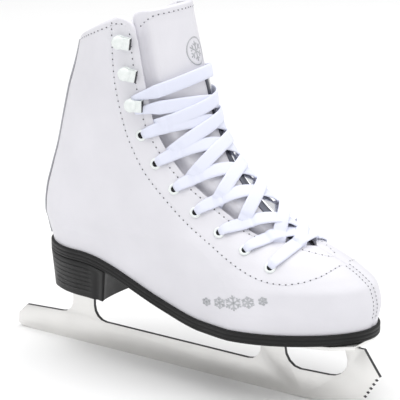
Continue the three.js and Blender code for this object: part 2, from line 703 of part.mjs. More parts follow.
// places of the eyelets and hooks on one side, from the toe end up: level and turn
function lacingPlaces() {
  const places = [];
  let level = LOWEST_EYELET;
  let last = rawPoint(turnAtSetback(level, EYELET_SETBACK), level);
  places.push({ level, turn: turnAtSetback(level, EYELET_SETBACK) });
  while (places.length < EYELETS + HOOKS) {
    level += 0.25;
    const next = rawPoint(turnAtSetback(level, EYELET_SETBACK), level);
    if (next.distanceTo(last) >= LACE_PITCH) {
      places.push({ level, turn: turnAtSetback(level, EYELET_SETBACK) });
      last = next;
    }
  }
  return places;
}
const LACING = lacingPlaces();

function lacingHoles(side, depth) {
  return LACING.map(({ level, turn }, i) => {
    const out = surface(side * turn, level, 3);
    const inn = surface(side * turn, level, -depth);
    const radius = i < EYELETS ? EYELET_BARREL + GAP : HOOK_POST + GAP;
    return rod(out, inn, radius, 10);
  });
}

function addQuarter(label, side) {
  const from = () => SEAM_TURN;
  const to = (level) => Math.min(throatTurn(level), Math.PI - SEAM_TURN);
  const outer = sheet(QUARTER_LEVELS, QUARTER_COLUMNS, side, from, to, () => 0);
  const inner = sheet(QUARTER_LEVELS, QUARTER_COLUMNS, side, from, to, () => -LEATHER);
  const geometry = cut(sheetSolid(outer, inner), lacingHoles(side, 8));
  return piece(`${label}_quarter`, geometry, WHITE, 0.45);
}

const REINFORCE_LEVELS = [
  99, 104, 109, 114, 121, 130, 141, 154, 169, 186, 204, 222, 238, 250,
].map(shaft);
const REINFORCE_BEYOND = 7;       // how far it runs on behind the eyelet row
const REINFORCE_EDGE = [1.5, 8];  // how far it stays off the throat's edge and the instep's ridge
const REINFORCE_FOOT = 116;       // height where it stops following the throat

function addFacing(label, side) {
  const from = (level) => turnAtSetback(level, EYELET_SETBACK + REINFORCE_BEYOND);
  const to = (level) => Math.min(
    throatTurn(Math.max(level, REINFORCE_FOOT), REINFORCE_EDGE[0]),
    turnAtSetback(level, REINFORCE_EDGE[1]),
  );
  const high = -LEATHER - LAYER_GAP;
  const outer = sheet(REINFORCE_LEVELS, 3, side, from, to, () => high);
  const inner = sheet(REINFORCE_LEVELS, 3, side, from, to, () => high - STIFFENER);
  const geometry = cut(sheetSolid(outer, inner), lacingHoles(side, 8));
  return piece(`${label}_facing_reinforcement`, geometry, LINING, 0.8);
}

// the counter and the toe puff: their levels, and the turns they reach at the foot and at the top
const COUNTER_LEVELS = [59, 68, 78, 88, 98, 108, 118];
const COUNTER_REACH = [1.25, 0.95];
const PUFF_LEVELS = [59, 68, 77, 85, 91, 96];
const PUFF_REACH = [0.95, 0.7];
const STIFFENER_COLUMNS = 12;

function reachAt(levels, reach, level) {
  const share = (level - levels[0]) / (levels[levels.length - 1] - levels[0]);
  return mix(reach[0], reach[1], smooth(share));
}

function addCounter() {
  const high = -LEATHER - LAYER_GAP;
  const to = (level) => reachAt(COUNTER_LEVELS, COUNTER_REACH, level);
  const from = (level) => -to(level);
  const outer = sheet(COUNTER_LEVELS, STIFFENER_COLUMNS, 1, from, to, () => high);
  const inner = sheet(COUNTER_LEVELS, STIFFENER_COLUMNS, 1, from, to, () => high - STIFFENER);
  return piece('heel_counter', sheetSolid(outer, inner), BOARD, 0.8);
}

function addToePuff() {
  const high = -LEATHER - LAYER_GAP;
  const around = (offset) => PUFF_LEVELS.map((level) => {
    const reach = reachAt(PUFF_LEVELS, PUFF_REACH, level);
    const row = [];
    for (let j = 0; j <= STIFFENER_COLUMNS; j += 1) {
      const turn = Math.PI + mix(-reach, reach, j / STIFFENER_COLUMNS);
      row.push(surface(turn > Math.PI ? turn - 2 * Math.PI : turn, level, offset));
    }
    return row;
  });
  return piece('toe_puff', sheetSolid(around(high), around(high - STIFFENER)), BOARD, 0.8);
}

const LINING_LEVELS = [
  60, 72, 84, 93, 101, 110, 120, 132, 146, 162, 180, 200, 220, 238, 251,
].map(shaft);
const LINING_COLUMNS = 24;
const LINING_SETBACK = 9;         // how far behind the eyelet row its front edges lie
const LINING_OPENS = [90, 14];    // height where it opens under the throat, and over what rise
const PADDING_STARTS = [105, 35]; // height where the padding starts, and over what rise
const PADDING_SHARE = 0.72;       // share of the way round to the edge that is fully padded

function addLining() {
  const high = -LEATHER - 2.5 * LAYER_GAP - STIFFENER;
  const edge = (level) => {
    const open = smooth((level - LINING_OPENS[0]) / LINING_OPENS[1]);
    const setback = (EYELET_SETBACK + LINING_SETBACK) * open;
    return Math.min(turnAtSetback(level, setback), Math.PI - 0.02);
  };
  const padding = (turn, level) => {
    const collar = smooth((level - PADDING_STARTS[0]) / PADDING_STARTS[1]);
    const share = (Math.abs(turn) / edge(level) - PADDING_SHARE) / (1 - PADDING_SHARE);
    const side = 1 - smooth(share);
    return LINING_THIN + (LINING_PADDED - LINING_THIN) * collar * side;
  };
  const from = (level) => -edge(level);
  const inside = (turn, level) => high - padding(turn, level);
  const outer = sheet(LINING_LEVELS, LINING_COLUMNS, 1, from, edge, () => high);
  const inner = sheet(LINING_LEVELS, LINING_COLUMNS, 1, from, edge, inside);
  return piece('boot_lining', sheetSolid(outer, inner), LINING, 0.85);
}

const BACKSTAY_COLUMNS = 10;
const BACKSTAY_LEVELS = [
  60, 70, 80, 90, 100, 112, 126, 142, 160, 180, 200, 220, 238, 250,
].map(shaft);

function addBackstay() {
  const reach = (level) => {
    const s = section(level);
    const share = BACKSTAY_HALF / s.heel;
    const into = s.backCap * (1 - Math.sqrt(1 - share * share));
    return Math.acos(1 - (2 * into) / (s.front - s.back));
  };
  const from = (level) => -reach(level);
  const outer = sheet(BACKSTAY_LEVELS, BACKSTAY_COLUMNS, 1, from, reach, () => BACKSTAY_LIFT + FILM_THICKNESS);
  const inner = sheet(BACKSTAY_LEVELS, BACKSTAY_COLUMNS, 1, from, reach, () => BACKSTAY_LIFT);
  return piece('backstay_strip', sheetSolid(outer, inner), SILVER, 0.15, 1);
}

// ---------- tongue ----------
const TONGUE_DEEP = -(LEATHER + 2 * LAYER_GAP + STIFFENER + 0.4);
const TONGUE_PROUD = -0.8;
// height of the padding's crown above that, by level
const TONGUE_CROWN = {
  z: [118, 135, 180, 207, 235, 262].map(shaft),
  high: [4, 6.5, 6, 4.5, 3, 1],
};
const TONGUE_EMERGES = [112, 12]; // height where it comes out of the throat, and over what rise
const TONGUE_TUCK = [7, 6];       // from the facing's edge: where it dives under, and over what width
const TONGUE_FOOT_HALF = 17;      // half widths at its foot and at its widest
const TONGUE_WIDE_HALF = 34;
const TONGUE_UNDER = 5;           // how far it runs on under the facings
const TONGUE_WIDENS = 16;         // over this rise it reaches its full width
const TONGUE_COLUMNS = 14;
const TONGUE_SPLIT = 0.4;         // half the gap between its fixed part and its free top

// turn on the front of the boot at a y distance from its centre line
function turnAtY(level, y) {
  const s = section(level);
  return turnAtSetback(level, s.front - xAtHalfWidth(level, Math.abs(y)));
}

function tonguePoint(y, level, offset) {
  const turn = Math.abs(y) < 0.2 ? Math.PI - 0.002 : turnAtY(level, y);
  return surface((y < 0 ? -1 : 1) * turn, level, offset, false);
}

// how far the tongue's face stands outside the leather's outer face: deep under the facings,
// padded up between them
function tongueLevel(y, level) {
  const rise = smooth((level - TONGUE_EMERGES[0]) / TONGUE_EMERGES[1]);
  const edge = Math.max(throatHalf(level), 1);
  const under = smooth((Math.abs(y) - (edge - TONGUE_TUCK[0])) / TONGUE_TUCK[1]);
  const crown = spline(TONGUE_CROWN.z, TONGUE_CROWN.high, level) * (1 - clamp(y / edge, -1, 1) ** 2);
  return mix(TONGUE_DEEP, TONGUE_PROUD + crown, rise * (1 - under));
}

function tongueHalf(level) {
  const full = Math.min(TONGUE_WIDE_HALF, throatHalf(level) + TONGUE_UNDER);
  const wide = mix(TONGUE_FOOT_HALF, full, smooth((level - TONGUE_FOOT) / TONGUE_WIDENS));
  const [cornerHeight, cornerWidth] = TONGUE_CORNER;
  const corner = clamp((level - (TONGUE_TOP - cornerHeight)) / cornerHeight, 0, 1);
  return wide - cornerWidth * (1 - Math.sqrt(1 - corner * corner));
}

function tongueSheet(levels, columns, half, offset) {
  return levels.map((level) => {
    const row = [];
    for (let j = 0; j <= columns; j += 1) {
      const y = mix(-half(level), half(level), j / columns);
      row.push(tonguePoint(y, level, offset(y, level)));
    }
    return row;
  });
}

function addTongue() {
  const lower = [TONGUE_FOOT, 108, 112, 116, 121, 128, 137, 147, 159, 173, 189, 207, 222].map(shaft);
  lower.push(TONGUE_JOINT - TONGUE_SPLIT);
  const upper = [TONGUE_JOINT + TONGUE_SPLIT];
  for (const below of [26, 17, 10, 5, 2, 0]) upper.push(TONGUE_TOP - below);
  const back = (y, level) => tongueLevel(y, level) - TONGUE_THICKNESS;
  for (const [label, levels] of [['tongue_lower', lower], ['tongue_upper', upper]]) {
    const outer = tongueSheet(levels, TONGUE_COLUMNS, tongueHalf, tongueLevel);
    const inner = tongueSheet(levels, TONGUE_COLUMNS, tongueHalf, back);
    piece(label, sheetSolid(outer, inner), WHITE, 0.5);
  }
  const low = [114, 119, 126, 135, 145, 157, 171, 188, 207].map(shaft);
  low.push(STRIP_TOP);
  const strip = (lift) => low.map((level) => {
    const middle = STRIP_SHIFT * smooth((level - STRIP_SHIFT_FROM) / STRIP_SHIFT_RISE);
    const row = [];
    for (let j = 0; j <= 4; j += 1) {
      const y = middle + mix(-STRIP_HALF, STRIP_HALF, j / 4);
      row.push(tonguePoint(y, level, tongueLevel(y, level) + lift));
    }
    return row;
  });
  const film = sheetSolid(strip(STRIP_PROUD), strip(STRIP_PROUD - STRIP_THICKNESS));
  piece('tongue_strip', film, SILVER, 0.12, 1);
}

// ---------- eyelets and hooks ----------
// stands a geometry made about the z axis on the upper, its z = 0 on the leather's face
function standOn(geometry, level, turn, lift = 0, spin = null) {
  const place = surface(turn, level, lift);
  const normal = surfaceNormal(turn, level);
  const towards = spin ?? surface(turn, level + 2).sub(surface(turn, level)).normalize();
  const side = towards.clone().cross(normal).normalize();
  const up = normal.clone().cross(side).normalize();
  geometry.applyMatrix4(new THREE.Matrix4().makeBasis(side, up, normal));
  geometry.translate(place.x, place.y, place.z);
  return geometry;
}

const EYELET_RIM = [0.4, 0.9];     // the rim's crest: how far from the hole, and how high
// the speed hook's tab, seen from its side: along the leather from the post, and up
const HOOK_TAB = [
  [2, 0.9], [-6.5, 0.9], [-7.6, 2.4], [-7.2, 4.6], [-5.6, 5.6], [3.4, 5.6],
  [3.4, 4.5], [-5.2, 4.5], [-6.2, 3.8], [-6.4, 2.6], [-5.8, 2.1], [2, 2.1],
];

function eyeletGeometry() {
  const back = -(LEATHER + LAYER_GAP + STIFFENER + GAP);
  const profile = [
    [EYELET_HOLE, back],
    [EYELET_BARREL, back],
    [EYELET_BARREL, GAP],
    [EYELET_FLANGE, GAP],
    [EYELET_HOLE + EYELET_RIM[0], GAP + EYELET_RIM[1]],
    [EYELET_HOLE, back],
  ].map(([radius, z]) => new THREE.Vector2(radius, z));
  const geometry = new THREE.LatheGeometry(profile, 10);
  geometry.rotateX(Math.PI / 2);
  return geometry;
}

// a speed hook: a domed base riveted through the leather, with a tab curled back over it
function hookGeometry() {
  const back = -(LEATHER + LAYER_GAP + STIFFENER);
  const dome = new THREE.LatheGeometry([
    [0, back],
    [HOOK_POST, back],
    [HOOK_POST, GAP],
    [HOOK_RADIUS, GAP],
    [HOOK_RADIUS, GAP + 0.9],
    [HOOK_RADIUS - 1.2, GAP + 1.6],
    [0, GAP + 2],
  ].map(([radius, z]) => new THREE.Vector2(radius, z)), 12);
  dome.rotateX(Math.PI / 2);
  const tab = new THREE.Shape(HOOK_TAB.map(([x, z]) => new THREE.Vector2(x, z)));
  const bent = new THREE.ExtrudeGeometry(tab, { depth: HOOK_WIDTH, bevelEnabled: false });
  bent.rotateX(Math.PI / 2);
  bent.translate(0, HOOK_WIDTH / 2, 0);
  return join([dome, bent]);
}

function addLacingHardware(label, side) {
  LACING.forEach(({ level, turn }, i) => {
    if (i < EYELETS) {
      piece(`${label}_eyelet_${i + 1}`, standOn(eyeletGeometry(), level, side * turn), WHITE, 0.35, 0.2);
      return;
    }
    const forward = surface(side * (turn + 0.03), level).sub(surface(side * turn, level)).normalize();
    const up = new THREE.Vector3(0, 0, side);
    const across = up.clone().sub(forward.clone().multiplyScalar(up.dot(forward))).normalize();
    const placed = standOn(hookGeometry(), level, side * turn, 0, across);
    piece(`${label}_hook_${i - EYELETS + 1}`, placed, WHITE, 0.35, 0.2);
  });
}

// ---------- lace ----------
// a flat band along points, each with the direction its face looks
function band(points, faces, width, thickness) {
  const rings = points.map((p, i) => {
    const ahead = points[Math.min(i + 1, points.length - 1)];
    const behind = points[Math.max(i - 1, 0)];
    const along = ahead.clone().sub(behind).normalize();
    const side = along.clone().cross(faces[i]).normalize();
    const up = side.clone().cross(along).normalize();
    const at = (a, b) => p.clone().addScaledVector(side, a * width / 2).addScaledVector(up, b * thickness);
    return [at(-1, 0), at(1, 0), at(1, 1), at(-1, 1)];
  });
  const count = 4;
  const triangles = [];
  for (let i = 0; i < rings.length - 1; i += 1) {
    for (let j = 0; j < count; j += 1) {
      const k = (j + 1) % count;
      const a = i * count + j;
      const b = i * count + k;
      triangles.push(a, b, b + count, a, b + count, a + count);
    }
  }
  const end = (rings.length - 1) * count;
  triangles.push(0, 2, 1, 0, 3, 2, end, end + 1, end + 2, end, end + 2, end + 3);
  return closedGeometry(rings.flat(), triangles);
}

// turn on the boot's front end at y from the centre line, negative on the outer side
function frontTurn(y, level) {
  const setback = Math.max(section(level).front - xAtHalfWidth(level, Math.abs(y)), 1e-4);
  return Math.sign(y || 1) * turnAtSetback(level, setback);
}

const LACING_LEVELS = [92, shaft(262)];
const LEVEL_HALVINGS = 24;

// level of the point at this y whose distance along a direction is the target
function levelAlong(y, direction, target) {
  let [low, high] = LACING_LEVELS;
  for (let i = 0; i < LEVEL_HALVINGS; i += 1) {
    const level = (low + high) / 2;
    if (rawPoint(frontTurn(y, level), level).dot(direction) < target) low = level;
    else high = level;
  }
  return (low + high) / 2;
}

const EDGE_BLEND = 4;             // over this width the lace comes down off the strip to the leather
const STRIP_CLEARANCE = 0.6;

// the outermost face there: the tongue and its strip between the facings, the leather outside them
function frontFace(y, level) {
  const inside = 1 - smooth((Math.abs(y) - throatHalf(level)) / EDGE_BLEND + 1);
  return Math.max(0, tongueLevel(y, level)) + inside * (STRIP_PROUD + STRIP_CLEARANCE);
}

const LACE_LIFT = 0.6;
const LACE_STEPS = 9;
const RIDGE_STEP = 6;
const END_STEEPNESS = 6;          // a run's end lift is gone after one sixth of the run
const EYELET_LIFT = 1.1;          // how far a run's end is lifted over an eyelet's rim, and a hook's
const HOOK_LIFT = 0.3;
const EYELET_REACH = 4.6;         // how far in front of the eyelets' and hooks' middles a run stops
const HOOK_REACH = 10.5;
const START_TUCK = 3;             // how far under the facing's edge a run starts
const START_SHARE = 0.3;          // how far up towards the next eyelet that is
const OVER = 1.5;                 // how much higher the upper lace runs where two cross

// one run of lace, the shortest way over the front; ends are [y, level, extra lift]
function laceRun(from, to, over) {
  const start = rawPoint(frontTurn(from[0], from[1]), from[1]);
  const stop = rawPoint(frontTurn(to[0], to[1]), to[1]);
  const middle = (from[1] + to[1]) / 2;
  const above = rawPoint(Math.PI, middle + RIDGE_STEP);
  const climb = above.sub(rawPoint(Math.PI, middle - RIDGE_STEP)).setY(0).normalize();
  const points = [];
  const faces = [];
  for (let i = 0; i <= LACE_STEPS; i += 1) {
    const t = i / LACE_STEPS;
    const y = mix(from[0], to[0], t);
    const level = levelAlong(y, climb, mix(start.dot(climb), stop.dot(climb), t));
    const crossing = over * Math.sin(Math.PI * t) ** 2;
    const leaving = 1 - smooth(t * END_STEEPNESS);
    const arriving = 1 - smooth((1 - t) * END_STEEPNESS);
    const end = from[2] * leaving + to[2] * arriving;
    const turn = frontTurn(y, level);
    const point = surface(turn, level, frontFace(y, level) + LACE_LIFT + crossing + end);
    points.push(point);
    faces.push(surface(turn, level, 4).sub(surface(turn, level, 0)).normalize());
  }
  return band(points, faces, LACE_WIDTH, LACE_THICKNESS);
}

// half width of the front at a distance back from the ridge
function halfWidthAt(level, setback) {
  const s = section(level);
  return s.ball * Math.sqrt(1 - (1 - setback / s.frontCap) ** 2);
}

const eyeletEnd = (i, side) => {
  const { level } = LACING[i];
  return [side * halfWidthAt(level, EYELET_SETBACK - EYELET_REACH), level, EYELET_LIFT];
};
const hookEnd = (i, side) => {
  const { level } = LACING[i];
  return [side * halfWidthAt(level, EYELET_SETBACK - HOOK_REACH), level, HOOK_LIFT];
};
// where a run comes out from under the facing, a little above eyelet i
const edgeStart = (i, side) => {
  const above = mix(LACING[i].level, LACING[i + 1].level, START_SHARE);
  const level = Math.max(above, THROAT_FOOT + START_TUCK);
  return [side * (throatHalf(level) - START_TUCK), level, 0];
};

function addLace() {
  const runs = [laceRun(eyeletEnd(0, -1), eyeletEnd(0, 1), 0)];
  for (let i = 0; i < EYELETS - 1; i += 1) {
    runs.push(laceRun(edgeStart(i, 1), eyeletEnd(i + 1, -1), 0));
    runs.push(laceRun(edgeStart(i, -1), eyeletEnd(i + 1, 1), OVER));
  }
  const top = EYELETS - 1;
  runs.push(laceRun(edgeStart(top, 1), hookEnd(top + 1, -1), 0));
  runs.push(laceRun(edgeStart(top, -1), hookEnd(top + 1, 1), OVER));
  runs.push(laceRun(hookEnd(top + 1, -1), hookEnd(top + 2, 1), 2 * OVER));
  piece('lace', filled(join(runs)), WHITE, 0.85);
}

// the two ends of the lace, tucked down inside the boot on its inner side
function addLaceEnds() {
  const level = shaft(215);
  const wall = LEATHER + 2 * LAYER_GAP + STIFFENER + LINING_PADDED;
  const y = sectionValue('waist', level) - wall - TAIL_CLEARANCE;
  [0, 1].forEach((i) => {
    const x = sectionValue('back', level) + TAIL_SETBACK + TAIL_SPACING * i;
    const points = [];
    const faces = [];
    for (let k = 0; k <= 4; k += 1) {
      const z = TONGUE_JOINT - (k * TAIL_LENGTH) / 4;
      points.push(new THREE.Vector3(x, y - 2 * Math.sin(k), z));
      faces.push(new THREE.Vector3(0, 1, 0));
    }
    piece(`lace_tail_${i + 1}`, band(points, faces, LACE_WIDTH - 2, LACE_THICKNESS), WHITE, 0.85);
    const end = points[4].clone().add(new THREE.Vector3(0, LACE_THICKNESS / 2, -GAP));
    const tip = end.clone().add(new THREE.Vector3(0, 0, -AGLET_LENGTH));
    piece(`lace_aglet_${i + 1}`, rod(end, tip, AGLET_RADIUS, 8), SILVER, 0.3, 0);
  });
}

addSole();
addHeel();
addBoards();
addBlade();
addPlate('front_sole_plate', FRONT_PLATE, FRONT_SCREWS);
addPlate('heel_plate', HEEL_PLATE, HEEL_SCREWS);
addScrews('front_screw', FRONT_SCREWS);
addScrews('heel_screw', HEEL_SCREWS);
for (const [label, side] of SIDES) {
  addQuarter(label, side);
  addFacing(label, side);
  addLacingHardware(label, side);
}
addCounter();
addToePuff();
addLining();
addBackstay();
addTongue();
addLace();
addLaceEnds();

// the origin is on the ice, under the middle of the skate
const bounds = new THREE.Box3().setFromObject(skate);
skate.position.set(-(bounds.min.x + bounds.max.x) / 2, -(bounds.min.y + bounds.max.y) / 2, -bounds.min.z);

export default skate;
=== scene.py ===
import math
import bmesh
import bpy
import numpy as np
from mathutils import Matrix, Vector


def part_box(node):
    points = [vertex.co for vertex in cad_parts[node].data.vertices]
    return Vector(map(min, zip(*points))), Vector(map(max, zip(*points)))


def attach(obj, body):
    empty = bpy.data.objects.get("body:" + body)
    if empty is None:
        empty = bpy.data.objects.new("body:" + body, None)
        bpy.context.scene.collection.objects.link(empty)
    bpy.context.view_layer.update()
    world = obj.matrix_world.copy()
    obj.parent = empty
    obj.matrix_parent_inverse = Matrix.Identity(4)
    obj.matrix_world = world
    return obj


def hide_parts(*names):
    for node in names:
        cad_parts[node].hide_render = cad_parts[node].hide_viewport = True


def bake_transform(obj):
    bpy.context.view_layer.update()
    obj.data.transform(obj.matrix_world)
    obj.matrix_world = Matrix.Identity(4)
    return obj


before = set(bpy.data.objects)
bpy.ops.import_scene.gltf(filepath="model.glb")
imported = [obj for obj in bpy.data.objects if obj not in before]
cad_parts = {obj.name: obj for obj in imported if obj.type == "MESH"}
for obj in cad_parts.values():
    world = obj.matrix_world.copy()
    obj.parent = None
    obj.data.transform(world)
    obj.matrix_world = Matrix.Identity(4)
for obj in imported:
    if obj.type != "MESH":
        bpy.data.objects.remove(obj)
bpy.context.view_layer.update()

# The right-foot figure skate's finished surfaces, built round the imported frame. Lengths in the
# maker's sheets below are millimetres in the last's own frame: x from the blade's tail to the
# toe, y across from the blade's middle plane to the inner side of the foot, z up from the ice.
MM = 0.001
BLADE_LOW, BLADE_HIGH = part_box("blade")
LAST_ORIGIN = np.array([BLADE_LOW.x, (BLADE_LOW.y + BLADE_HIGH.y) / 2, BLADE_LOW.z])
BOOT = "boot"
TONGUE_TOP_BODY = "tongue_top"

# ---------------------------------------------------------------- maker's sizes
LEATHER = 2.2
STIFFENER = 1.2
LAYER_GAP = 0.8
SOLE_THICKNESS = 8.0
CEMENT_GAP = 0.8
HEEL_SEAT = 86.0
SOLE_TOP_FRONT = 56.5
SHANK_START, SHANK_END = 86.0, 200.0
TOE_SPRING, TOE_SPRING_FROM, TOE_SPRING_TO = 2.5, 210.0, 320.0
SOLE_LIP = 2.0
FEATHER_LEVEL = 56.0
RIM_LEVEL = 254.0
RIM_BACK, RIM_FRONT, RIM_SLOPE, RIM_CORNER = 242.0, 265.0, 0.44, 12.0
EYELETS, HOOKS = 7, 3
LACE_PITCH, EYELET_SETBACK, LOWEST_EYELET = 22.4, 34.5, 102.3
TONGUE_THICKNESS = 5.0
TONGUE_FOOT, TONGUE_JOINT, TONGUE_TOP = 103.0, 234.0, 269.0
STRIP_FOOT, STRIP_TOP, STRIP_SHIFT = 117.5, 222.0, 13.0
LACE_WIDTH, LACE_THICKNESS = 9.6, 1.5

# the last's level sections: height, back x, front x, length of the rounded back and front ends,
# half width at the heel, the waist and the ball
SECTIONS = np.array([
    (56, 44, 308, 38, 74, 31, 31, 44),
    (70, 42, 310, 38, 72, 33, 34, 46),
    (84, 41, 307, 38, 72, 34, 35, 45.5),
    (93, 40, 299, 38, 78, 34, 36, 44),
    (102, 39, 286, 38, 84, 34, 37, 42),
    (112, 39, 265, 38, 84, 34, 38, 40),
    (124, 40.5, 239, 38, 78, 34, 38, 38),
    (140, 45, 216, 40, 70, 34, 37, 37),
    (160, 51, 194, 43, 60, 33.5, 36, 36),
    (185, 57, 178, 46, 53, 34, 36.5, 36),
    (215, 65, 170, 48, 50, 36, 38, 37),
    (254, 76, 161, 42, 42, 38, 40, 38),
    (280, 84, 155, 36, 35, 38, 40, 38),
])
WIDTH_SHARES = (0.18, 0.45, 0.69)      # where along a section the three widths are


# ---------------------------------------------------------------- curves over numpy arrays
def hermite(t, h, y0, y1, m0, m1):
    """Between two values h apart, leaving the first with slope m0, reaching the second with m1."""
    return ((2 * t**3 - 3 * t**2 + 1) * y0 + (t**3 - 2 * t**2 + t) * h * m0
            + (3 * t**2 - 2 * t**3) * y1 + (t**3 - t**2) * h * m1)


def joining_slope(before, after):
    """The slope at a point between two stretches, none where the curve turns back."""
    same_way = before * after > 0
    return np.where(same_way, 2 * before * after / np.where(same_way, before + after, 1), 0)


def monotone(xs, ys):
    """A smooth curve through the points that never overshoots, held level past both ends."""
    xs, ys = np.array(xs, float), np.array(ys, float)
    slope = np.diff(ys) / np.diff(xs)
    tangent = np.concatenate([slope[:1], joining_slope(slope[:-1], slope[1:]), slope[-1:]])

    def at(x):
        x = np.clip(x, xs[0], xs[-1])
        i = np.clip(np.searchsorted(xs, x) - 1, 0, len(xs) - 2)
        h = xs[i + 1] - xs[i]
        return hermite((x - xs[i]) / h, h, ys[i], ys[i + 1], tangent[i], tangent[i + 1])
    return at


def smooth(v):
    t = np.clip(v, 0, 1)
    return t * t * (3 - 2 * t)


def mix(a, b, t):
    return a + (b - a) * t


SECTION_CURVES = [monotone(SECTIONS[:, 0], SECTIONS[:, k]) for k in range(1, 8)]
centre_curve = monotone((60, 150, 225, 308), (0, -3, 1.5, 15))
throat_half = monotone((111.5, 115, 119, 134, 149, 160, 188, 217, 254),
                       (0, 13, 20.5, 22.8, 25.4, 27, 29.6, 31, 32.5))
tongue_crown = monotone((118, 135, 180, 207, 235, 262), (4, 6.5, 6, 4.5, 3, 1))


def section(level):
    return [curve(level) for curve in SECTION_CURVES]


def centre_line(x, level):
    return centre_curve(x) * (1 - smooth((level - 110) / 80))


def toe_lift(x):
    return TOE_SPRING * smooth((x - TOE_SPRING_FROM) / (TOE_SPRING_TO - TOE_SPRING_FROM))


def sole_top(x):
    fall = smooth((x - SHANK_START) / (SHANK_END - SHANK_START))
    return mix(HEEL_SEAT, SOLE_TOP_FRONT, fall) + toe_lift(x)


def x_at_half_width(level, y):
    _, front, _, front_cap, _, _, ball = section(level)
    share = np.clip(y / ball, 0, 1)
    return front - front_cap * (1 - np.sqrt(1 - share**2))


RIM_FRONT_X = float(x_at_half_width(RIM_LEVEL, throat_half(RIM_LEVEL)))


def rim_height(x):
    straight = np.minimum(RIM_FRONT, RIM_BACK + RIM_SLOPE * (x - section(RIM_LEVEL)[0]))
    into = np.clip(x - (RIM_FRONT_X - RIM_CORNER), 0, RIM_CORNER)
    return straight - (RIM_CORNER - np.sqrt(RIM_CORNER**2 - into**2))


def level_height(level, x):
    foot = (sole_top(x) - FEATHER_LEVEL) * (1 - smooth((level - FEATHER_LEVEL) / 62))
    head = np.where(level > RIM_LEVEL, 1.0, smooth((level - 200) / (RIM_LEVEL - 200)))
    return level + foot + (rim_height(x) - RIM_LEVEL) * head


def raw_point(turn, level, follow_rim=True):
    """turn: 0 at the back seam, pi at the toe or instep, negative on the outer side."""
    turn, level = np.broadcast_arrays(np.asarray(turn, float), np.asarray(level, float))
    back, front, back_cap, front_cap, heel, waist, ball = section(level)
    share = (1 - np.cos(turn)) / 2
    x = back + (front - back) * share
    low, mid, high = WIDTH_SHARES
    # the same smooth curve through three widths, worked out for every point at once
    s1, s2 = (waist - heel) / (mid - low), (ball - waist) / (high - mid)
    bend = joining_slope(s1, s2)
    inside = np.clip(share, low, high)
    first = inside < mid
    h = np.where(first, mid - low, high - mid)
    t = np.where(first, (inside - low) / h, (inside - mid) / h)
    width = hermite(t, h, np.where(first, heel, waist), np.where(first, waist, ball),
                    np.where(first, s1, bend), np.where(first, bend, s2))
    into_back = np.clip(1 - (x - back) / back_cap, 0, 1)
    into_front = np.clip(1 - (front - x) / front_cap, 0, 1)
    round_off = np.sqrt(1 - into_back**2) * np.sqrt(1 - into_front**2)
    y = centre_line(x, level) + np.sign(np.sin(turn)) * width * round_off
    z = level_height(level, x) if follow_rim else level
    return np.stack([x, y, z * np.ones_like(x)], -1)


def normal_at(turn, level, follow_rim=True):
    along = raw_point(turn + 0.02, level, follow_rim) - raw_point(turn - 0.02, level, follow_rim)
    up = raw_point(turn, level + 1.5, follow_rim) - raw_point(turn, level - 1.5, follow_rim)
    out = np.cross(up, along)
    return out / np.linalg.norm(out, axis=-1, keepdims=True)


def skin(turn, level, offset=0.0, follow_rim=True):
    """Points on the boot's outer surface, moved outwards by offset."""
    out = normal_at(turn, level, follow_rim) * np.asarray(offset, float)[..., None]
    return raw_point(turn, level, follow_rim) + out


def turn_at_setback(level, setback):
    back, front = section(level)[:2]
    return np.arccos(np.clip(1 - 2 * (1 - setback / (front - back)), -1, 1))


def turn_at_y(level, y):
    """Turn on the boot's front end at y from its centre line, negative on the outer side."""
    front = section(level)[1]
    setback = np.maximum(front - x_at_half_width(level, np.abs(y)), 1e-4)
    return np.where(np.asarray(y) < 0, -1, 1) * turn_at_setback(level, setback)


def throat_turn(level, extra=0.0):
    half = throat_half(level) + extra
    front = section(level)[1]
    return np.where(half <= 0.05, math.pi, turn_at_setback(level, front - x_at_half_width(level, half)))


def tongue_level(y, level):
    """How far the tongue's face stands outside the leather's face."""
    deep = -(LEATHER + 2 * LAYER_GAP + STIFFENER + 0.4)
    rise = smooth((level - 112) / 12)
    edge = np.maximum(throat_half(level), 1)
    under = smooth((np.abs(y) - (edge - 7)) / 6)
    crown = tongue_crown(level) * (1 - np.clip(y / edge, -1, 1)**2)
    return mix(deep, -0.8 + crown, rise * (1 - under))


def tongue_half(level):
    wide = mix(17, np.minimum(34, throat_half(level) + 5), smooth((level - TONGUE_FOOT) / 16))
    corner = np.clip((level - (TONGUE_TOP - 6)) / 6, 0, 1)
    return wide - 5 * (1 - np.sqrt(1 - corner**2))


def place(points):
    """From the last's millimetres to the frame's metres."""
    return np.asarray(points) * MM + LAST_ORIGIN


# ---------------------------------------------------------------- materials
PATTERN_SPAN = (0.3, 0.7)             # values between which a noise pattern mostly stays


def hex_linear(code):
    """sRGB hex to the linear colour that the shader takes."""
    values = [int(code[i:i + 2], 16) / 255 for i in (1, 3, 5)]
    linear = [v / 12.92 if v <= 0.04045 else ((v + 0.055) / 1.055) ** 2.4 for v in values]
    return (*linear, 1.0)


def node(tree, kind, inputs=None, **settings):
    """Adds one node with its settings, its values and its links."""
    made = tree.nodes.new(kind)
    for key, value in settings.items():
        setattr(made, key, value)
    for key, value in (inputs or {}).items():
        if isinstance(value, bpy.types.NodeSocket):
            tree.links.new(value, made.inputs[key])
        else:
            made.inputs[key].default_value = value
    return made


def new_material(name, **sockets):
    material = bpy.data.materials.new(name)
    material.use_nodes = True
    tree = material.node_tree
    shader = tree.nodes["Principled BSDF"]
    for key, value in sockets.items():
        shader.inputs[key.replace("_", " ")].default_value = value
    return material, tree, shader


def on_object(tree):
    """Where a spot lies on the piece, in metres."""
    return node(tree, "ShaderNodeTexCoord").outputs["Object"]


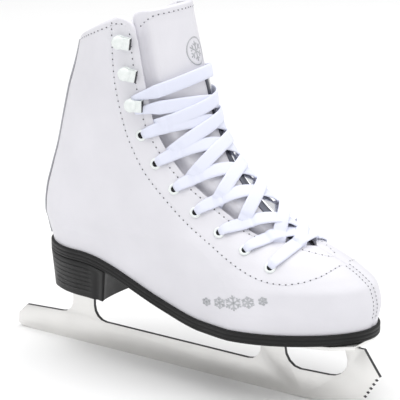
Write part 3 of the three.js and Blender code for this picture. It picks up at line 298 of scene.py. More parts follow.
def noise(tree, where, scale, detail=2.0):
    """An uneven pattern with so many features a metre."""
    inputs = {"Vector": where, "Scale": scale, "Detail": detail}
    return node(tree, "ShaderNodeTexNoise", inputs).outputs["Fac"]


def calc(tree, operation, *values):
    return node(tree, "ShaderNodeMath", dict(enumerate(values)), operation=operation).outputs[0]


def tinted(tree, shader, pattern, colours, span=PATTERN_SPAN):
    """Colours the finish from the first colour to the second as the pattern crosses a span."""
    made = node(tree, "ShaderNodeValToRGB", {"Fac": pattern})
    for element, position, colour in zip(made.color_ramp.elements, span, colours):
        element.position = position
        element.color = colour
    tree.links.new(made.outputs["Color"], shader.inputs["Base Color"])


def tones(*codes):
    return [hex_linear(code) for code in codes]


def roughened(tree, shader, pattern, low, high):
    """Lets the roughness wander between two values with the pattern."""
    inputs = {"Value": pattern, "From Min": PATTERN_SPAN[0], "From Max": PATTERN_SPAN[1],
              "To Min": low, "To Max": high}
    made = node(tree, "ShaderNodeMapRange", inputs)
    tree.links.new(made.outputs["Result"], shader.inputs["Roughness"])


def embossed(tree, shader, *layers):
    """Bumps one over another, each a (pattern, strength, depth in metres)."""
    below = {}
    for pattern, strength, depth in layers:
        inputs = {"Height": pattern, "Strength": strength, "Distance": depth, **below}
        below = {"Normal": node(tree, "ShaderNodeBump", inputs).outputs["Normal"]}
    tree.links.new(below["Normal"], shader.inputs["Normal"])


def coated_leather():
    """White coated leather: smooth calf grain pressed in a glossy topcoat, faintly cool."""
    material, tree, shader = new_material("white_coated_leather", Roughness=0.42, IOR=1.48,
                                          Coat_Weight=0.12, Coat_Roughness=0.25)
    where = on_object(tree)
    # grain cells about 0.9 mm across, drawn no finer
    cells = node(tree, "ShaderNodeTexVoronoi", {"Vector": where, "Scale": 1100.0},
                 feature="DISTANCE_TO_EDGE").outputs["Distance"]
    pores, broad = noise(tree, where, 420.0, 3.0), noise(tree, where, 22.0, 3.0)
    tinted(tree, shader, broad, tones("#dddce2", "#e5e4ea"))
    roughened(tree, shader, broad, 0.36, 0.48)
    embossed(tree, shader, (cells, 0.10, 0.0003), (pores, 0.12, 0.0004))
    return material


WEAVE_BAND, WEAVE_RIB = 1.3, 0.9      # centimetres from one to the next


def lace_weave():
    """Flat tubular polyester lace: bluish white, soft and matt, its bands crossed by ribs."""
    material, tree, shader = new_material("woven_lace", Roughness=0.82, Sheen_Weight=0.25)
    where = node(tree, "ShaderNodeUVMap", uv_map="UVMap").outputs["UV"]
    # both in centimetres; the bands slant both ways from the lace's middle
    parts = node(tree, "ShaderNodeSeparateXYZ", {"Vector": where}).outputs
    slant = calc(tree, "ADD", parts["X"], calc(tree, "ABSOLUTE", parts["Y"]))
    bands = calc(tree, "SINE", calc(tree, "MULTIPLY", slant, 2 * math.pi / WEAVE_BAND))
    ribs = calc(tree, "SINE", calc(tree, "MULTIPLY", parts["Y"], 2 * math.pi / WEAVE_RIB))
    inputs = {"Value": calc(tree, "MULTIPLY", bands, ribs), "From Min": -1.0}
    level = node(tree, "ShaderNodeMapRange", inputs).outputs["Result"]
    tinted(tree, shader, level, tones("#d9dcf0", "#edf0fc"), (0.0, 1.0))
    embossed(tree, shader, (level, 0.5, 0.0003))
    return material


def knit_lining():
    """Brushed tricot lining: off-white, fuzzy, with a fine rib."""
    material, tree, shader = new_material("brushed_knit_lining", Roughness=0.95, Sheen_Weight=0.35)
    where = on_object(tree)
    inputs = {"Vector": where, "Scale": 260.0, "Distortion": 1.2, "Detail": 2.0}
    rib = node(tree, "ShaderNodeTexWave", inputs, bands_direction="X").outputs["Fac"]
    fuzz = noise(tree, where, 900.0, 3.0)
    tinted(tree, shader, fuzz, tones("#cfcfd4", "#e2e2e6"))
    embossed(tree, shader, (rib, 0.3, 0.0004), (fuzz, 0.4, 0.0005))
    return material


def moulded_rubber():
    """Black moulded thermoplastic rubber: satin, with a fine sparked mould texture."""
    material, tree, shader = new_material("moulded_black_rubber", Roughness=0.5, IOR=1.4)
    where = on_object(tree)
    spark, broad = noise(tree, where, 1400.0), noise(tree, where, 45.0, 4.0)
    tinted(tree, shader, broad, tones("#080809", "#101011"), (0.3, 0.75))
    roughened(tree, shader, broad, 0.38, 0.55)
    embossed(tree, shader, (spark, 0.18, 0.0002))
    return material


def ground_steel(name="ground_stainless_steel", low=0.28, high=0.44, tone="#ebeae8"):
    """Stainless blade steel, ground along its length: fine scratches that smear the reflections."""
    material, tree, shader = new_material(name, Metallic=1.0)
    where = on_object(tree)
    # grit lines 0.4 mm apart across the blade and 60 times as long along it
    stretched = node(tree, "ShaderNodeMapping", {"Vector": where, "Scale": (40.0, 2500.0, 2500.0)})
    lines = noise(tree, stretched.outputs["Vector"], 1.0, 3.0)
    light = hex_linear(tone)
    dark = (*(0.93 * v for v in light[:3]), 1.0)
    tinted(tree, shader, noise(tree, where, 30.0), (dark, light))
    roughened(tree, shader, lines, low, high)
    embossed(tree, shader, (lines, 0.12, 0.0001))
    return material


def mottled(name, dark, light, roughness, scale, strength=0.2, depth=0.0004, metallic=0.0,
            detail=4.0, **sockets):
    """A plain finish with a mottle of the given scale (features a metre)."""
    material, tree, shader = new_material(name, Roughness=roughness, Metallic=metallic, **sockets)
    speck = noise(tree, on_object(tree), scale, detail)
    tinted(tree, shader, speck, tones(dark, light))
    embossed(tree, shader, (speck, strength, depth))
    return material


LEATHER_WHITE = coated_leather()
# painted reflection: the tongue's one silver film is drawn as bands, and these darker and greyer ones
# paint its dark and grazing reflections; the grey one also binds the back strip's edges
DARK_REFLECTION_FILM = mottled("dark_film_painted_reflection", "#50525c", "#5e606a", 0.34, 90.0, 0.08, 0.0004, 0.7)
GREY_FILM = mottled("grey_satin_film_and_painted_reflection", "#a4a5aa", "#b4b5ba", 0.38, 90.0, 0.08, 0.0004, 0.6)
WEAVE = lace_weave()
KNIT = knit_lining()
RUBBER = moulded_rubber()
BLADE_STEEL = ground_steel()
# painted shade: the blade's edge faces, picked by the way they face, and the hooks' mouths take this dark,
# rough steel for the shade on them
SHADED_EDGE_STEEL = ground_steel("steel_edge_painted_shade", 0.5, 0.65, "#5a5a5c")
SCREW_STEEL = mottled("bright_zinc_plate", "#c9cbcd", "#e2e3e4", 0.3, 500.0, 0.05, 0.0002, 1.0)
# metallised film on fabric: bright mirror silver with slight ripples
FILM = mottled("metallised_silver_film", "#d6d7da", "#e6e7ea", 0.27, 90.0, 0.2, 0.001, 1.0, 2.0)
# the back strip's pearly white film
WHITE_FILM = mottled("pearl_white_film", "#d4d5d9", "#e0e1e5", 0.3, 120.0, 0.1, 0.0004, 0.15)
# stove-enamelled brass of the eyelets and hooks: glossy white, faintly green
ENAMEL = mottled("white_stove_enamel", "#e6ecea", "#f2f6f5", 0.22, 300.0, 0.08, 0.0003, 0.0, 2.0,
                 IOR=1.55, Coat_Weight=0.3)
# bonded polyester sewing thread, white, matt
THREAD = mottled("bonded_sewing_thread", "#dcdce2", "#f0f0f4", 0.7, 2500.0)
# painted shade: flat dark discs at each end of a stitch stand for the shadowed needle holes
NEEDLE_HOLE_SHADE = mottled("needle_hole_shadow", "#4e4e54", "#626268", 0.9, 1500.0)
# silver-grey screen print
PRINT_INK = mottled("silver_screen_print", "#b4b6ba", "#c6c8cc", 0.35, 600.0, 0.1, 0.0002, 0.35)
# pressed cellulose fibre board
FIBRE = mottled("pressed_fibre_board", "#8a6f4c", "#a98d67", 0.85, 350.0)
# clear film wound tight on the lace's end
AGLET = mottled("clear_lace_tip_film", "#d9dbe0", "#eceef2", 0.25, 400.0, 0.1)
# unlit inside of an eyelet or a screw's recess
HOLE_DARK = mottled("eyelet_bore_shadow", "#101112", "#1c1d1f", 0.9, 600.0)


# ---------------------------------------------------------------- mesh helpers
WELD = 1e-6                           # metres within which two corners are one


def finish_mesh(name, bm, material, body=BOOT, replaced=(), smooth_faces=True):
    for face in bm.faces:
        face.smooth = smooth_faces
    mesh = bpy.data.meshes.new(name)
    bm.to_mesh(mesh)
    bm.free()
    mesh.materials.append(material)
    piece = bpy.data.objects.new(name, mesh)
    bpy.context.scene.collection.objects.link(piece)
    if body:
        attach(piece, body)
    if replaced:
        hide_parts(*replaced)
    return piece


def modifier(piece, kind, **settings):
    made = piece.modifiers.new(kind.title(), kind)
    for key, value in settings.items():
        setattr(made, key, value)
    return made


def rounded(piece, width, segments=2, angle=40):
    """Eases the cut edges by a width in millimetres."""
    modifier(piece, "BEVEL", width=width * MM, segments=segments, limit_method="ANGLE",
             angle_limit=math.radians(angle), harden_normals=False)
    return piece


def flat_grid(bm, columns, rows):
    """A unit grid added to bm; gives its vertices with u and v from 0 to 1."""
    made = bmesh.ops.create_grid(bm, x_segments=columns, y_segments=rows, size=0.5)["verts"]
    return made, np.array([v.co.x for v in made]) + 0.5, np.array([v.co.y for v in made]) + 0.5


def set_uv(bm, verts, us, vs):
    layer = bm.loops.layers.uv.verify()
    where = {vert: (float(a), float(b)) for vert, a, b in zip(verts, us, vs)}
    for vert in verts:
        for loop in vert.link_loops:
            loop[layer].uv = where[vert]


def lay(verts, points):
    for vert, co in zip(verts, place(points)):
        vert.co = co


def sheet(columns, rows, point):
    """A single-walled grid laid on a surface; point takes arrays of u and v from 0 to 1."""
    bm = bmesh.new()
    verts, u, v = flat_grid(bm, columns, rows)
    set_uv(bm, verts, u, v)
    lay(verts, point(u, v))
    return bm


def shell(columns, rows, outer, inner, uv=None):
    """A closed piece between two faces, each a function of arrays of u and v."""
    bm = bmesh.new()
    front, u, v = flat_grid(bm, columns, rows)
    faces = list({face for vert in front for face in vert.link_faces})
    copied = bmesh.ops.extrude_face_region(bm, geom=faces)["geom"]
    back = [g for g in copied if isinstance(g, bmesh.types.BMVert)]
    ub, vb = np.array([p.co.x for p in back]) + 0.5, np.array([p.co.y for p in back]) + 0.5
    if uv:
        set_uv(bm, front, *uv(u, v))
        set_uv(bm, back, *uv(ub, vb))
    lay(front, outer(u, v))
    lay(back, inner(ub, vb))
    made = list({face for vert in front + back for face in vert.link_faces})
    bmesh.ops.recalc_face_normals(bm, faces=made)
    return bm


def loft(rings):
    """A closed skin over rings of points, all with the same count; rings is [ring][point][xyz]."""
    rings = np.array(rings)
    spans, count = rings.shape[0] - 1, rings.shape[1]
    bm = bmesh.new()
    verts, u, v = flat_grid(bm, count, spans)
    ring = np.rint(v * spans).astype(int)
    step = np.rint(u * count).astype(int) % count
    lay(verts, rings[ring, step])
    bmesh.ops.remove_doubles(bm, verts=bm.verts, dist=WELD)
    ends = [edge for edge in bm.edges if edge.is_boundary]
    bmesh.ops.holes_fill(bm, edges=ends, sides=0)
    bmesh.ops.recalc_face_normals(bm, faces=bm.faces)
    bmesh.ops.triangulate(bm, faces=[face for face in bm.faces if len(face.verts) > 8])
    return bm


def spun(profile, matrix, segments=32, bm=None):
    """A turned piece, added to bm: a profile of (radius, height) in mm spun about the matrix's z."""
    if bm is None:
        bm = bmesh.new()
    path = [bm.verts.new((r * MM, 0, h * MM)) for r, h in profile]
    edges = [bm.edges.new(pair) for pair in zip(path[:-1], path[1:])]
    bmesh.ops.spin(bm, geom=path + edges, cent=(0, 0, 0), axis=(0, 0, 1),
                   angle=2 * math.pi, steps=segments, use_merge=True)
    bmesh.ops.remove_doubles(bm, verts=[v for v in bm.verts if not v.tag], dist=WELD)
    verts = [v for v in bm.verts if not v.tag]
    bmesh.ops.transform(bm, matrix=matrix, verts=verts)
    for vert in verts:
        vert.tag = True
    bmesh.ops.recalc_face_normals(bm, faces=bm.faces)
    return bm


def cad_copy(name, cad_node, material, rounding, lifted_above=None):
    """The CAD node's own shape with merged facets and eased edges, sprung up with the sole's toe."""
    bm = bmesh.new()
    bm.from_mesh(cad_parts[cad_node].data)
    bmesh.ops.remove_doubles(bm, verts=bm.verts, dist=2e-5)
    for vert in bm.verts:
        if lifted_above is not None and vert.co.z > lifted_above * MM:
            vert.co.z += float(toe_lift((vert.co.x - LAST_ORIGIN[0]) / MM)) * MM
    bmesh.ops.dissolve_limit(bm, angle_limit=math.radians(1.0), verts=bm.verts, edges=bm.edges)
    return rounded(finish_mesh(name, bm, material, BOOT, (cad_node,)), rounding, 2, 35)


def sized(x, y, z):
    """Scales a unit shape to these millimetres."""
    return Matrix.Diagonal((x * MM, y * MM, z * MM, 1))


def seat_matrix(spot, normal, towards):
    """Stands a piece on a spot (metres) with its z along normal and its y towards a direction."""
    z = Vector(normal).normalized()
    x = Vector(towards).cross(z).normalized()
    y = z.cross(x)
    matrix = Matrix((x, y, z)).transposed().to_4x4()
    matrix.translation = Vector(spot)
    return matrix


# ---------------------------------------------------------------- the leather upper
FOLD_RADIUS = 2.4                     # the collar's turned edge
FOLD_SHARE = 0.93                     # share of the rows below it
LINING_HIGH = -(LEATHER + 2.5 * LAYER_GAP + STIFFENER)
LINING_FOOT, LINING_TOP = 60, 251
LINING_THIN, LINING_COLLAR = 1.4, 4.6  # its thickness below, and how much the collar adds
SIDES = (("lateral", -1), ("medial", 1))
level_by_row = monotone((0, 0.12, 0.22, 0.34, 0.46, 0.56, 0.68, 0.84, 1),
                        (55.2, 76, 92, 103, 112, 124, 150, 200, RIM_LEVEL - FOLD_RADIUS))
# the facing's outer seam: level and distance back from the front of the instep
FACING_SEAM = ((251, 37.6), (248.4, 38.4), (233.4, 41.9), (219, 44.5), (204, 45.3), (192, 45.6),
               (174, 46.6), (156, 48.4), (145, 48.9), (135, 49.6), (124, 51.4), (115, 55),
               (105.5, 58.6), (98.4, 56.2), (94.4, 50), (92.6, 43), (92.2, 36), (92.8, 30),
               (93.8, 24), (95.3, 17.8), (97.1, 11.5), (99.4, 5.4), (101, 1.2), (101.3, 0.2))
seam_setback = monotone([row[0] for row in FACING_SEAM[:12]][::-1],
                        [row[1] for row in FACING_SEAM[:12]][::-1])


def lining_edge(level):
    opened = smooth((level - 90) / 14)
    return np.minimum(turn_at_setback(level, (EYELET_SETBACK + 9) * opened), math.pi - 0.02)


def padding(turn, level):
    collar = smooth((level - 105) / 35)
    to_edge = smooth((np.abs(turn) / lining_edge(level) - 0.72) / 0.28)
    return LINING_THIN + LINING_COLLAR * collar * (1 - to_edge)


def relief(turn, level):
    """The leather pulled in along its seams, and a little hand-lasted unevenness."""
    back, front = section(level)[:2]
    setback = (front - back) * (1 + np.cos(turn)) / 2
    beside = setback - seam_setback(level)
    dent = 0.3 * np.exp(-(beside / 1.8) ** 2) * smooth((level - 108) / 6)
    edge = np.abs(turn) - throat_turn(level, 2.6)
    dent = dent + 0.2 * np.exp(-(edge * 40 / 1.2) ** 2) * smooth((level - 114) / 4)
    below = smooth((112 - level) / 5)
    wave = 0.2 * np.sin(5 * turn) * np.sin(level / 15 + 1.5 * turn) * smooth((level - 60) / 10)
    return wave - dent - 0.45 * below * np.exp(-((math.pi - np.abs(turn)) * 30 / 1.4) ** 2)


def upper(label, side):
    def point(u, v):
        s = np.clip((v - FOLD_SHARE) / (1 - FOLD_SHARE), 0, 1)
        turned = np.clip(s / 0.4, 0, 1) * math.pi / 2
        inward = np.clip((s - 0.4) / 0.6, 0, 1)
        level = level_by_row(np.minimum(v / FOLD_SHARE, 1)) + FOLD_RADIUS * np.sin(turned)
        last = np.minimum(throat_turn(level), math.pi - 0.0015)
        turn = side * mix(0.0015, last, u)
        depth = -LINING_HIGH + padding(turn, level) - 0.6
        offset = relief(turn, level) - FOLD_RADIUS * (1 - np.cos(turned))
        offset = offset - (depth - FOLD_RADIUS) * inward
        return skin(turn, level - 2.2 * inward**2, offset)
    bm = sheet(170, 160, point)
    if side > 0:
        bmesh.ops.reverse_faces(bm, faces=bm.faces)
    piece = finish_mesh(f"{label}_upper_leather", bm, LEATHER_WHITE, BOOT, (f"{label}_quarter",))
    modifier(piece, "SOLIDIFY", thickness=LEATHER * MM, offset=-1.0)
    rounded(piece, 0.55, 3, 50)


def facing_lining(label, side):
    """The stiffened lining behind the eyelets, seen along the throat's edge."""
    def at(offset):
        def point(u, v):
            level = mix(99, 250, v)
            first = turn_at_setback(level, EYELET_SETBACK + 7)
            last = np.minimum(throat_turn(np.maximum(level, 116), 1.0), turn_at_setback(level, 7))
            return skin(side * mix(first, last, u), level, offset)
        return point
    bm = shell(10, 90, at(-LEATHER - 0.15), at(-LEATHER - LAYER_GAP - STIFFENER))
    piece = finish_mesh(f"{label}_facing_lining", bm, LEATHER_WHITE, BOOT,
                        (f"{label}_facing_reinforcement",))
    rounded(piece, 0.4, 2)


def boot_lining():
    def face(deep):
        def point(u, v):
            level = mix(LINING_FOOT, LINING_TOP, v)
            turn = mix(-1, 1, u) * lining_edge(level)
            quilt = 0.5 * np.sin(math.pi * np.clip((level - 120) / 130, 0, 1))
            return skin(turn, level, LINING_HIGH - deep * (padding(turn, level) + quilt))
        return point
    piece = finish_mesh("padded_boot_lining", shell(120, 90, face(0), face(1)), KNIT, BOOT,
                        ("boot_lining",))
    rounded(piece, 0.9, 3)


BACKSTAY_HALF, BACKSTAY_BINDING = 18.0, 1.1


def backstay():
    """A bonded film strip over the back seam, its two edges bound with a darker film."""
    def turn_at(across, level):
        back, front, back_cap, _, heel = section(level)[:5]
        into = back_cap * (1 - np.sqrt(1 - (across / heel) ** 2))
        return np.sign(across) * np.arccos(1 - 2 * into / (front - back))

    def band(name, near, far, proud, film):
        def at(lift):
            def point(u, v):
                level = mix(60, 250, v)
                return skin(turn_at(mix(near, far, u), level), level, lift)
            return point
        columns = 22 if far - near > 4 else 3
        bm = shell(columns, 110, at(proud), at(0.05), lambda u, v: (u, v))
        rounded(finish_mesh(name, bm, film, BOOT, ("backstay_strip",)), 0.2, 2)
    inner = BACKSTAY_HALF - BACKSTAY_BINDING
    band("backstay_film_strip", -inner, inner, 1.3, WHITE_FILM)
    for label, side in SIDES:
        ends = sorted((side * (inner + 0.05), side * BACKSTAY_HALF))
        band(f"{label}_backstay_edge_binding", ends[0], ends[1], 1.1, GREY_FILM)


# ---------------------------------------------------------------- sewing
def walk(points, normals, pitch, first=0.5):
    """Spots a pitch apart along a line, each with the line's way and the face's normal."""
    steps = np.linalg.norm(np.diff(points, axis=0), axis=1)
    far = np.concatenate([[0], np.cumsum(steps)])
    count = max(int(far[-1] / pitch), 1)
    spots = (np.arange(count) + first) * far[-1] / count

    def at(where, values):
        return np.stack([np.interp(where, far, values[:, k]) for k in range(3)], -1)
    way = at(spots + 0.4, points) - at(spots - 0.4, points)
    return zip(place(at(spots, points)), way, at(spots, normals))


THREAD_WIDTH = 0.62


def stitch_rows(name, lines, pitch, body=BOOT):
    """Lockstitches along lines, each a rounded thread between two needle holes drawn as flat dark discs of
    painted shade.
    """
    threads, hole_shades = bmesh.new(), bmesh.new()
    for points, normals in lines:
        for spot, way, normal in walk(points, normals, pitch):
            matrix = seat_matrix(spot + normal * 0.1 * MM, normal, way)
            size = sized(THREAD_WIDTH, 0.62 * pitch, 0.5)
            bmesh.ops.create_uvsphere(threads, u_segments=6, v_segments=4, radius=0.5,
                                      matrix=matrix @ size)
        # painted shade: a flat dark disc where each needle hole is
        for spot, way, normal in walk(points, normals, pitch, first=0.0):
            matrix = seat_matrix(spot + normal * 0.13 * MM, normal, way)
            size = sized(0.5, 0.62, 1)
            bmesh.ops.create_circle(hole_shades, cap_ends=True, segments=8, radius=1,
                                    matrix=matrix @ size)
    finish_mesh(name, threads, THREAD, body)
    finish_mesh(f"{name}_hole_shades", hole_shades, NEEDLE_HOLE_SHADE, body)


def seam_line(side, levels, turns, steps=260):
    """A line on the leather through (level, turn) points, evenly sampled."""
    way = np.arange(len(levels))
    at = np.linspace(0, way[-1], steps)
    level = monotone(way, levels)(at)
    turn = side * monotone(way, turns)(at)
    return skin(turn, level, relief(turn, level)), normal_at(turn, level)


COLLAR_SEAM, TOE_SEAM = 249.5, 2.4    # its level, and how far off the toe's middle line
# round the throat's foot: level and distance from the middle line
THROAT_FOOT_SEAM = ((112.5, 14.0), (109.0, 9.0), (106.5, 4.5), (105.5, 0.5))


def upper_seams():
    """Two rows along each facing, one under the rim and one on each side of the toe's seam."""
    outer, inner, toe, collar = [], [], [], []
    for side in (-1, 1):
        turns = [float(turn_at_setback(a, b)) for a, b in FACING_SEAM]
        outer.append(seam_line(side, np.array([row[0] for row in FACING_SEAM]), turns))
        levels = np.linspace(118, 249, 30)
        inner.append(seam_line(side, levels, throat_turn(levels, 2.6)))
        last = float(throat_turn(COLLAR_SEAM, 3.0))
        collar.append(seam_line(side, np.full(30, COLLAR_SEAM), np.linspace(0.22, last, 30)))
        turns = [float(turn_at_y(a, b)) for a, b in THROAT_FOOT_SEAM]
        inner.append(seam_line(side, np.array([row[0] for row in THROAT_FOOT_SEAM]), turns, 60))
        levels = np.linspace(100, 60, 12)
        toe.append(seam_line(side, levels, [float(turn_at_y(a, TOE_SEAM)) for a in levels], 90))
    stitch_rows("facing_outer_stitches", outer, 4.3)
    stitch_rows("facing_edge_stitches", inner, 4.3)
    stitch_rows("collar_stitches", collar, 4.0)
    stitch_rows("toe_seam_stitches", toe, 2.8)


# ---------------------------------------------------------------- tongue
TONGUE_EDGE = 2.0                     # how far in its padded edges are rounded
TONGUE_ARCH = 3.4                     # how much higher its top is in the middle
BEND_HALF = 7                         # half the span about the tongue's joint at which bend() takes its two points


def tongue_point(y, level, offset):
    flat = np.abs(y) < 0.2
    turn = np.where(flat, math.pi - 0.002, np.abs(turn_at_y(level, y))) * np.where(y < 0, -1, 1)
    return skin(turn, level, offset, follow_rim=False)


def ankle_fold(y, level):
    """Soft folds where the ankle bends the tongue."""
    return 0.45 * np.sin(level / 5.5 + y / 16) * smooth((level - 135) / 20) * smooth((225 - level) / 25)


def tongue_grid(u, v):
    # the top edge is arched, highest just inside the middle
    top = TONGUE_TOP + TONGUE_ARCH * (1 - (2 * np.asarray(u) - 1) ** 2)
    level = mix(TONGUE_FOOT, TONGUE_TOP, v)
    half = tongue_half(level)
    y = mix(-1, 1, u) * half
    edge = np.minimum(half - np.abs(y), TONGUE_TOP - level)
    level = level + (top - TONGUE_TOP) * smooth((level - 236) / 30)
    into = np.clip((TONGUE_EDGE - edge) / TONGUE_EDGE, 0, 1)
    return y, level, np.sqrt(1 - into**2), ankle_fold(y, level)


def even_edges(u):
    """Spreads a grid's columns so that they crowd towards both edges."""
    return (1 - np.cos(math.pi * u)) / 2 * 0.55 + u * 0.45


def tongue():
    def face(side):
        def point(u, v):
            y, level, round_off, fold = tongue_grid(even_edges(u), 1 - (1 - v) ** 1.5)
            deep = TONGUE_THICKNESS / 2 * (1 + side * round_off)
            return tongue_point(y, level, tongue_level(y, level) + fold - deep)
        return point
    piece = finish_mesh("padded_leather_tongue", shell(64, 130, face(-1), face(1)),
                        LEATHER_WHITE, None, ("tongue_lower", "tongue_upper"))
    bend(piece)

    def back_at(lift):
        def point(u, v):
            y, level, _, fold = tongue_grid(mix(0.05, 0.95, u), mix(0.05, 0.985, v))
            return tongue_point(y, level, tongue_level(y, level) + fold - TONGUE_THICKNESS - lift)
        return point
    bend(finish_mesh("tongue_back_lining", shell(40, 90, back_at(-0.1), back_at(0.35)), KNIT, None,
                     ()))


def bend(piece):
    """Bakes the piece's placement into its mesh; the points either side of the tongue's joint are worked
    out, but the top is not bent.
    """
    ends = [place(tongue_point(np.array([0.0]), np.array([TONGUE_JOINT + away]), np.array([-2.0])))[0]
            for away in (-BEND_HALF, BEND_HALF)]
    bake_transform(piece)


def tongue_line(y, level, lift):
    low, high = [tongue_point(y, level, tongue_level(y, level) + lift + up) for up in (0, 1)]
    return low, high - low


def tongue_stitching():
    t = np.linspace(-1, 1, 200)
    inset = 4.2
    level = TONGUE_TOP - inset - 6.5 * np.clip((np.abs(t) - 0.72) / 0.28, 0, 1) ** 2
    level = level + TONGUE_ARCH * 0.95 * (1 - t**2)
    y = t * (tongue_half(TONGUE_TOP - 7) - inset + 1.0)
    stitch_rows("tongue_top_stitches", [tongue_line(y, level, 0.05)], 4.0, TONGUE_TOP_BODY)


# each band of the strip: from and to across it, how proud it stands, and its film; the dark and grey bands
# are painted reflections of the one silver film
STRIP_BANDS = (("dark_reflection_band", -8.0, -3.4, 0.7, DARK_REFLECTION_FILM),
               ("bright_film_band", -3.4, 6.2, 0.9, FILM),
               ("grey_reflection_band", 6.2, 8.0, 0.7, GREY_FILM))


def tongue_strip():
    """Three bands of bonded film down the tongue, each slightly padded; the dark and grey ones paint the
    silver film's reflections.
    """
    def face(near, far, lift):
        def point(u, v):
            level = mix(STRIP_FOOT, STRIP_TOP, v)
            middle = STRIP_SHIFT * smooth((level - 125) / 65)
            y = middle + mix(near + 0.12, far - 0.12, u)
            crown = 0.15 * (1 - (2 * u - 1) ** 2)
            return tongue_point(y, level, tongue_level(y, level) + ankle_fold(y, level) + lift + crown)
        return point
    for name, near, far, proud, film in STRIP_BANDS:
        bm = shell(8, 120, face(near, far, proud), face(near, far, -0.1), lambda u, v: (u, v))
        rounded(finish_mesh(name, bm, film, BOOT, ("tongue_strip",)), 0.25, 2)


PRINT_THICKNESS = 0.12


def printed(name, shapes, surface_at, body=BOOT):
    """Raised print: flat shapes drawn in millimetres and laid on a curved face."""
    bm = bmesh.new()
    for build in shapes:
        build(bm)
    bmesh.ops.triangulate(bm, faces=bm.faces)
    bmesh.ops.subdivide_edges(bm, edges=bm.edges, cuts=1, use_grid_fill=True)
    flat = np.array([v.co for v in bm.verts])
    lay(bm.verts, surface_at(flat[:, 0], flat[:, 1]))
    piece = finish_mesh(name, bm, PRINT_INK, body)
    modifier(piece, "SOLIDIFY", thickness=PRINT_THICKNESS * MM, offset=0.0)


def bar(x0, y0, x1, y1, width):
    """A straight printed line, in millimetres."""
    def build(bm):
        length = math.hypot(x1 - x0, y1 - y0)
        turn = Matrix.Rotation(math.atan2(y1 - y0, x1 - x0), 4, "Z")
        size = Matrix.Diagonal((length, width, 1, 1))
        middle = Matrix.Translation(((x0 + x1) / 2, (y0 + y1) / 2, 0))
        bmesh.ops.create_grid(bm, x_segments=3, y_segments=1, size=0.5, matrix=middle @ turn @ size)
    return build


def ring(x, y, radius, width, segments=40):
    """A printed ring, in millimetres."""
    def build(bm):
        loops = []
        for r in (radius, radius - width):
            verts = bmesh.ops.create_circle(bm, segments=segments, radius=r,
                                            matrix=Matrix.Translation((x, y, 0)))["verts"]
            loops += list({edge for vert in verts for edge in vert.link_edges})
        bmesh.ops.bridge_loops(bm, edges=loops)
    return build


def snowflake(x, y, size, width):
    """A plain six-armed frost star, each arm with one pair of barbs."""
    builds = []
    for k in range(6):
        way = math.radians(60 * k + 30)
        c, s = math.cos(way), math.sin(way)
        builds.append(bar(x, y, x + size * c, y + size * s, width))
        for spread in (-1, 1):
            barb = way + spread * math.radians(55)
            bx, by = x + 0.55 * size * c, y + 0.55 * size * s
            builds.append(bar(bx, by, bx + 0.38 * size * math.cos(barb),
                              by + 0.38 * size * math.sin(barb), width))
    return builds


RING_Y, RING_LEVEL = 3.0, 238.0       # the ring print's middle on the tongue
# the frost row's middle: turn and level low on the side near the ball, with its slope
ROW_TURN, ROW_LEVEL, ROW_SLOPE = 1.997, 76.3, 0.22
ROW_SPACING, ROW_STARS = 9.6, (3.2, 4.4, 5.6, 4.4, 3.2)


def prints():
    def on_tongue(x, y):
        across, level = x + RING_Y, RING_LEVEL + y
        return tongue_point(across, level, tongue_level(across, level) + PRINT_THICKNESS)
    printed("tongue_ring_print", [ring(0, 0, 10, 0.9)] + snowflake(0, 0, 7.0, 0.9), on_tongue,
            TONGUE_TOP_BODY)
    row = []
    for k, size in enumerate(ROW_STARS):
        row += snowflake((k - 2) * ROW_SPACING, 0, size, 1.0)
    for label, side in SIDES:
        def on_side(x, y, side=side):
            turn = side * (ROW_TURN + x * 0.0101)
            level = ROW_LEVEL + y + x * ROW_SLOPE
            return skin(turn, level, 0.1 + relief(turn, level))
        printed(f"{label}_frost_row_print", row, on_side)


# ---------------------------------------------------------------- sole and heel
END_TURN = 0.02


def outline_point(turn, grow):
    p = raw_point(turn, FEATHER_LEVEL)
    along = raw_point(turn + 0.01, FEATHER_LEVEL) - raw_point(turn - 0.01, FEATHER_LEVEL)
    along = along[..., :2] / np.linalg.norm(along[..., :2], axis=-1, keepdims=True)
    grow = np.asarray(grow)
    return np.stack([p[..., 0] - along[..., 1] * grow, p[..., 1] + along[..., 0] * grow], -1)


SOLE_TURNS = np.concatenate([np.linspace(END_TURN, math.pi - END_TURN, 110),
                             np.linspace(-math.pi + END_TURN, -END_TURN, 110)])


def sole_ring(grow, lift):
    points = outline_point(SOLE_TURNS, grow)
    return np.stack([points[:, 0], points[:, 1], sole_top(points[:, 0]) + lift], -1)


def sole_stack(name, replaced, layers, material):
    """A board that follows the sole's line, from rings of (grow, lift)."""
    bm = loft([sole_ring(grow, lift) for grow, lift in layers])
    finish_mesh(name, bm, material, BOOT, replaced)


def soles():
    low, high = -SOLE_THICKNESS - CEMENT_GAP, -CEMENT_GAP
    lip = SOLE_LIP
    layers = [(lip - 1.6, low), (lip - 0.5, low + 0.25), (lip - 0.1, low + 0.9), (lip, low + 1.6),
              (lip, low + 2.3), (lip - 0.12, low + 2.4), (lip - 0.12, low + 2.6),
              (lip, low + 2.7), (lip, low + 4.9), (lip - 0.15, low + 5.05), (lip - 0.15, low + 5.3),
              (lip, low + 5.45), (lip, high - 0.8), (lip - 0.15, high - 0.3), (lip - 0.6, high)]
    sole_stack("layered_rubber_outsole", ("outsole",), layers, RUBBER)
    inset = -(LEATHER + 2 * LAYER_GAP + LINING_THIN + STIFFENER)
    bed = 2.4 + 0.3
    sole_stack("insole_board_fibre", ("insole_board",), [(inset - 0.6, 0.3), (inset - 0.6, 2.4)],
               FIBRE)
    sole_stack("cushioned_footbed", ("footbed",),
               [(inset - 3.9, bed), (inset - 3.5, bed + 0.4), (inset - 3.5, bed + 2.6),
                (inset - 4.3, bed + 3.2)], KNIT)


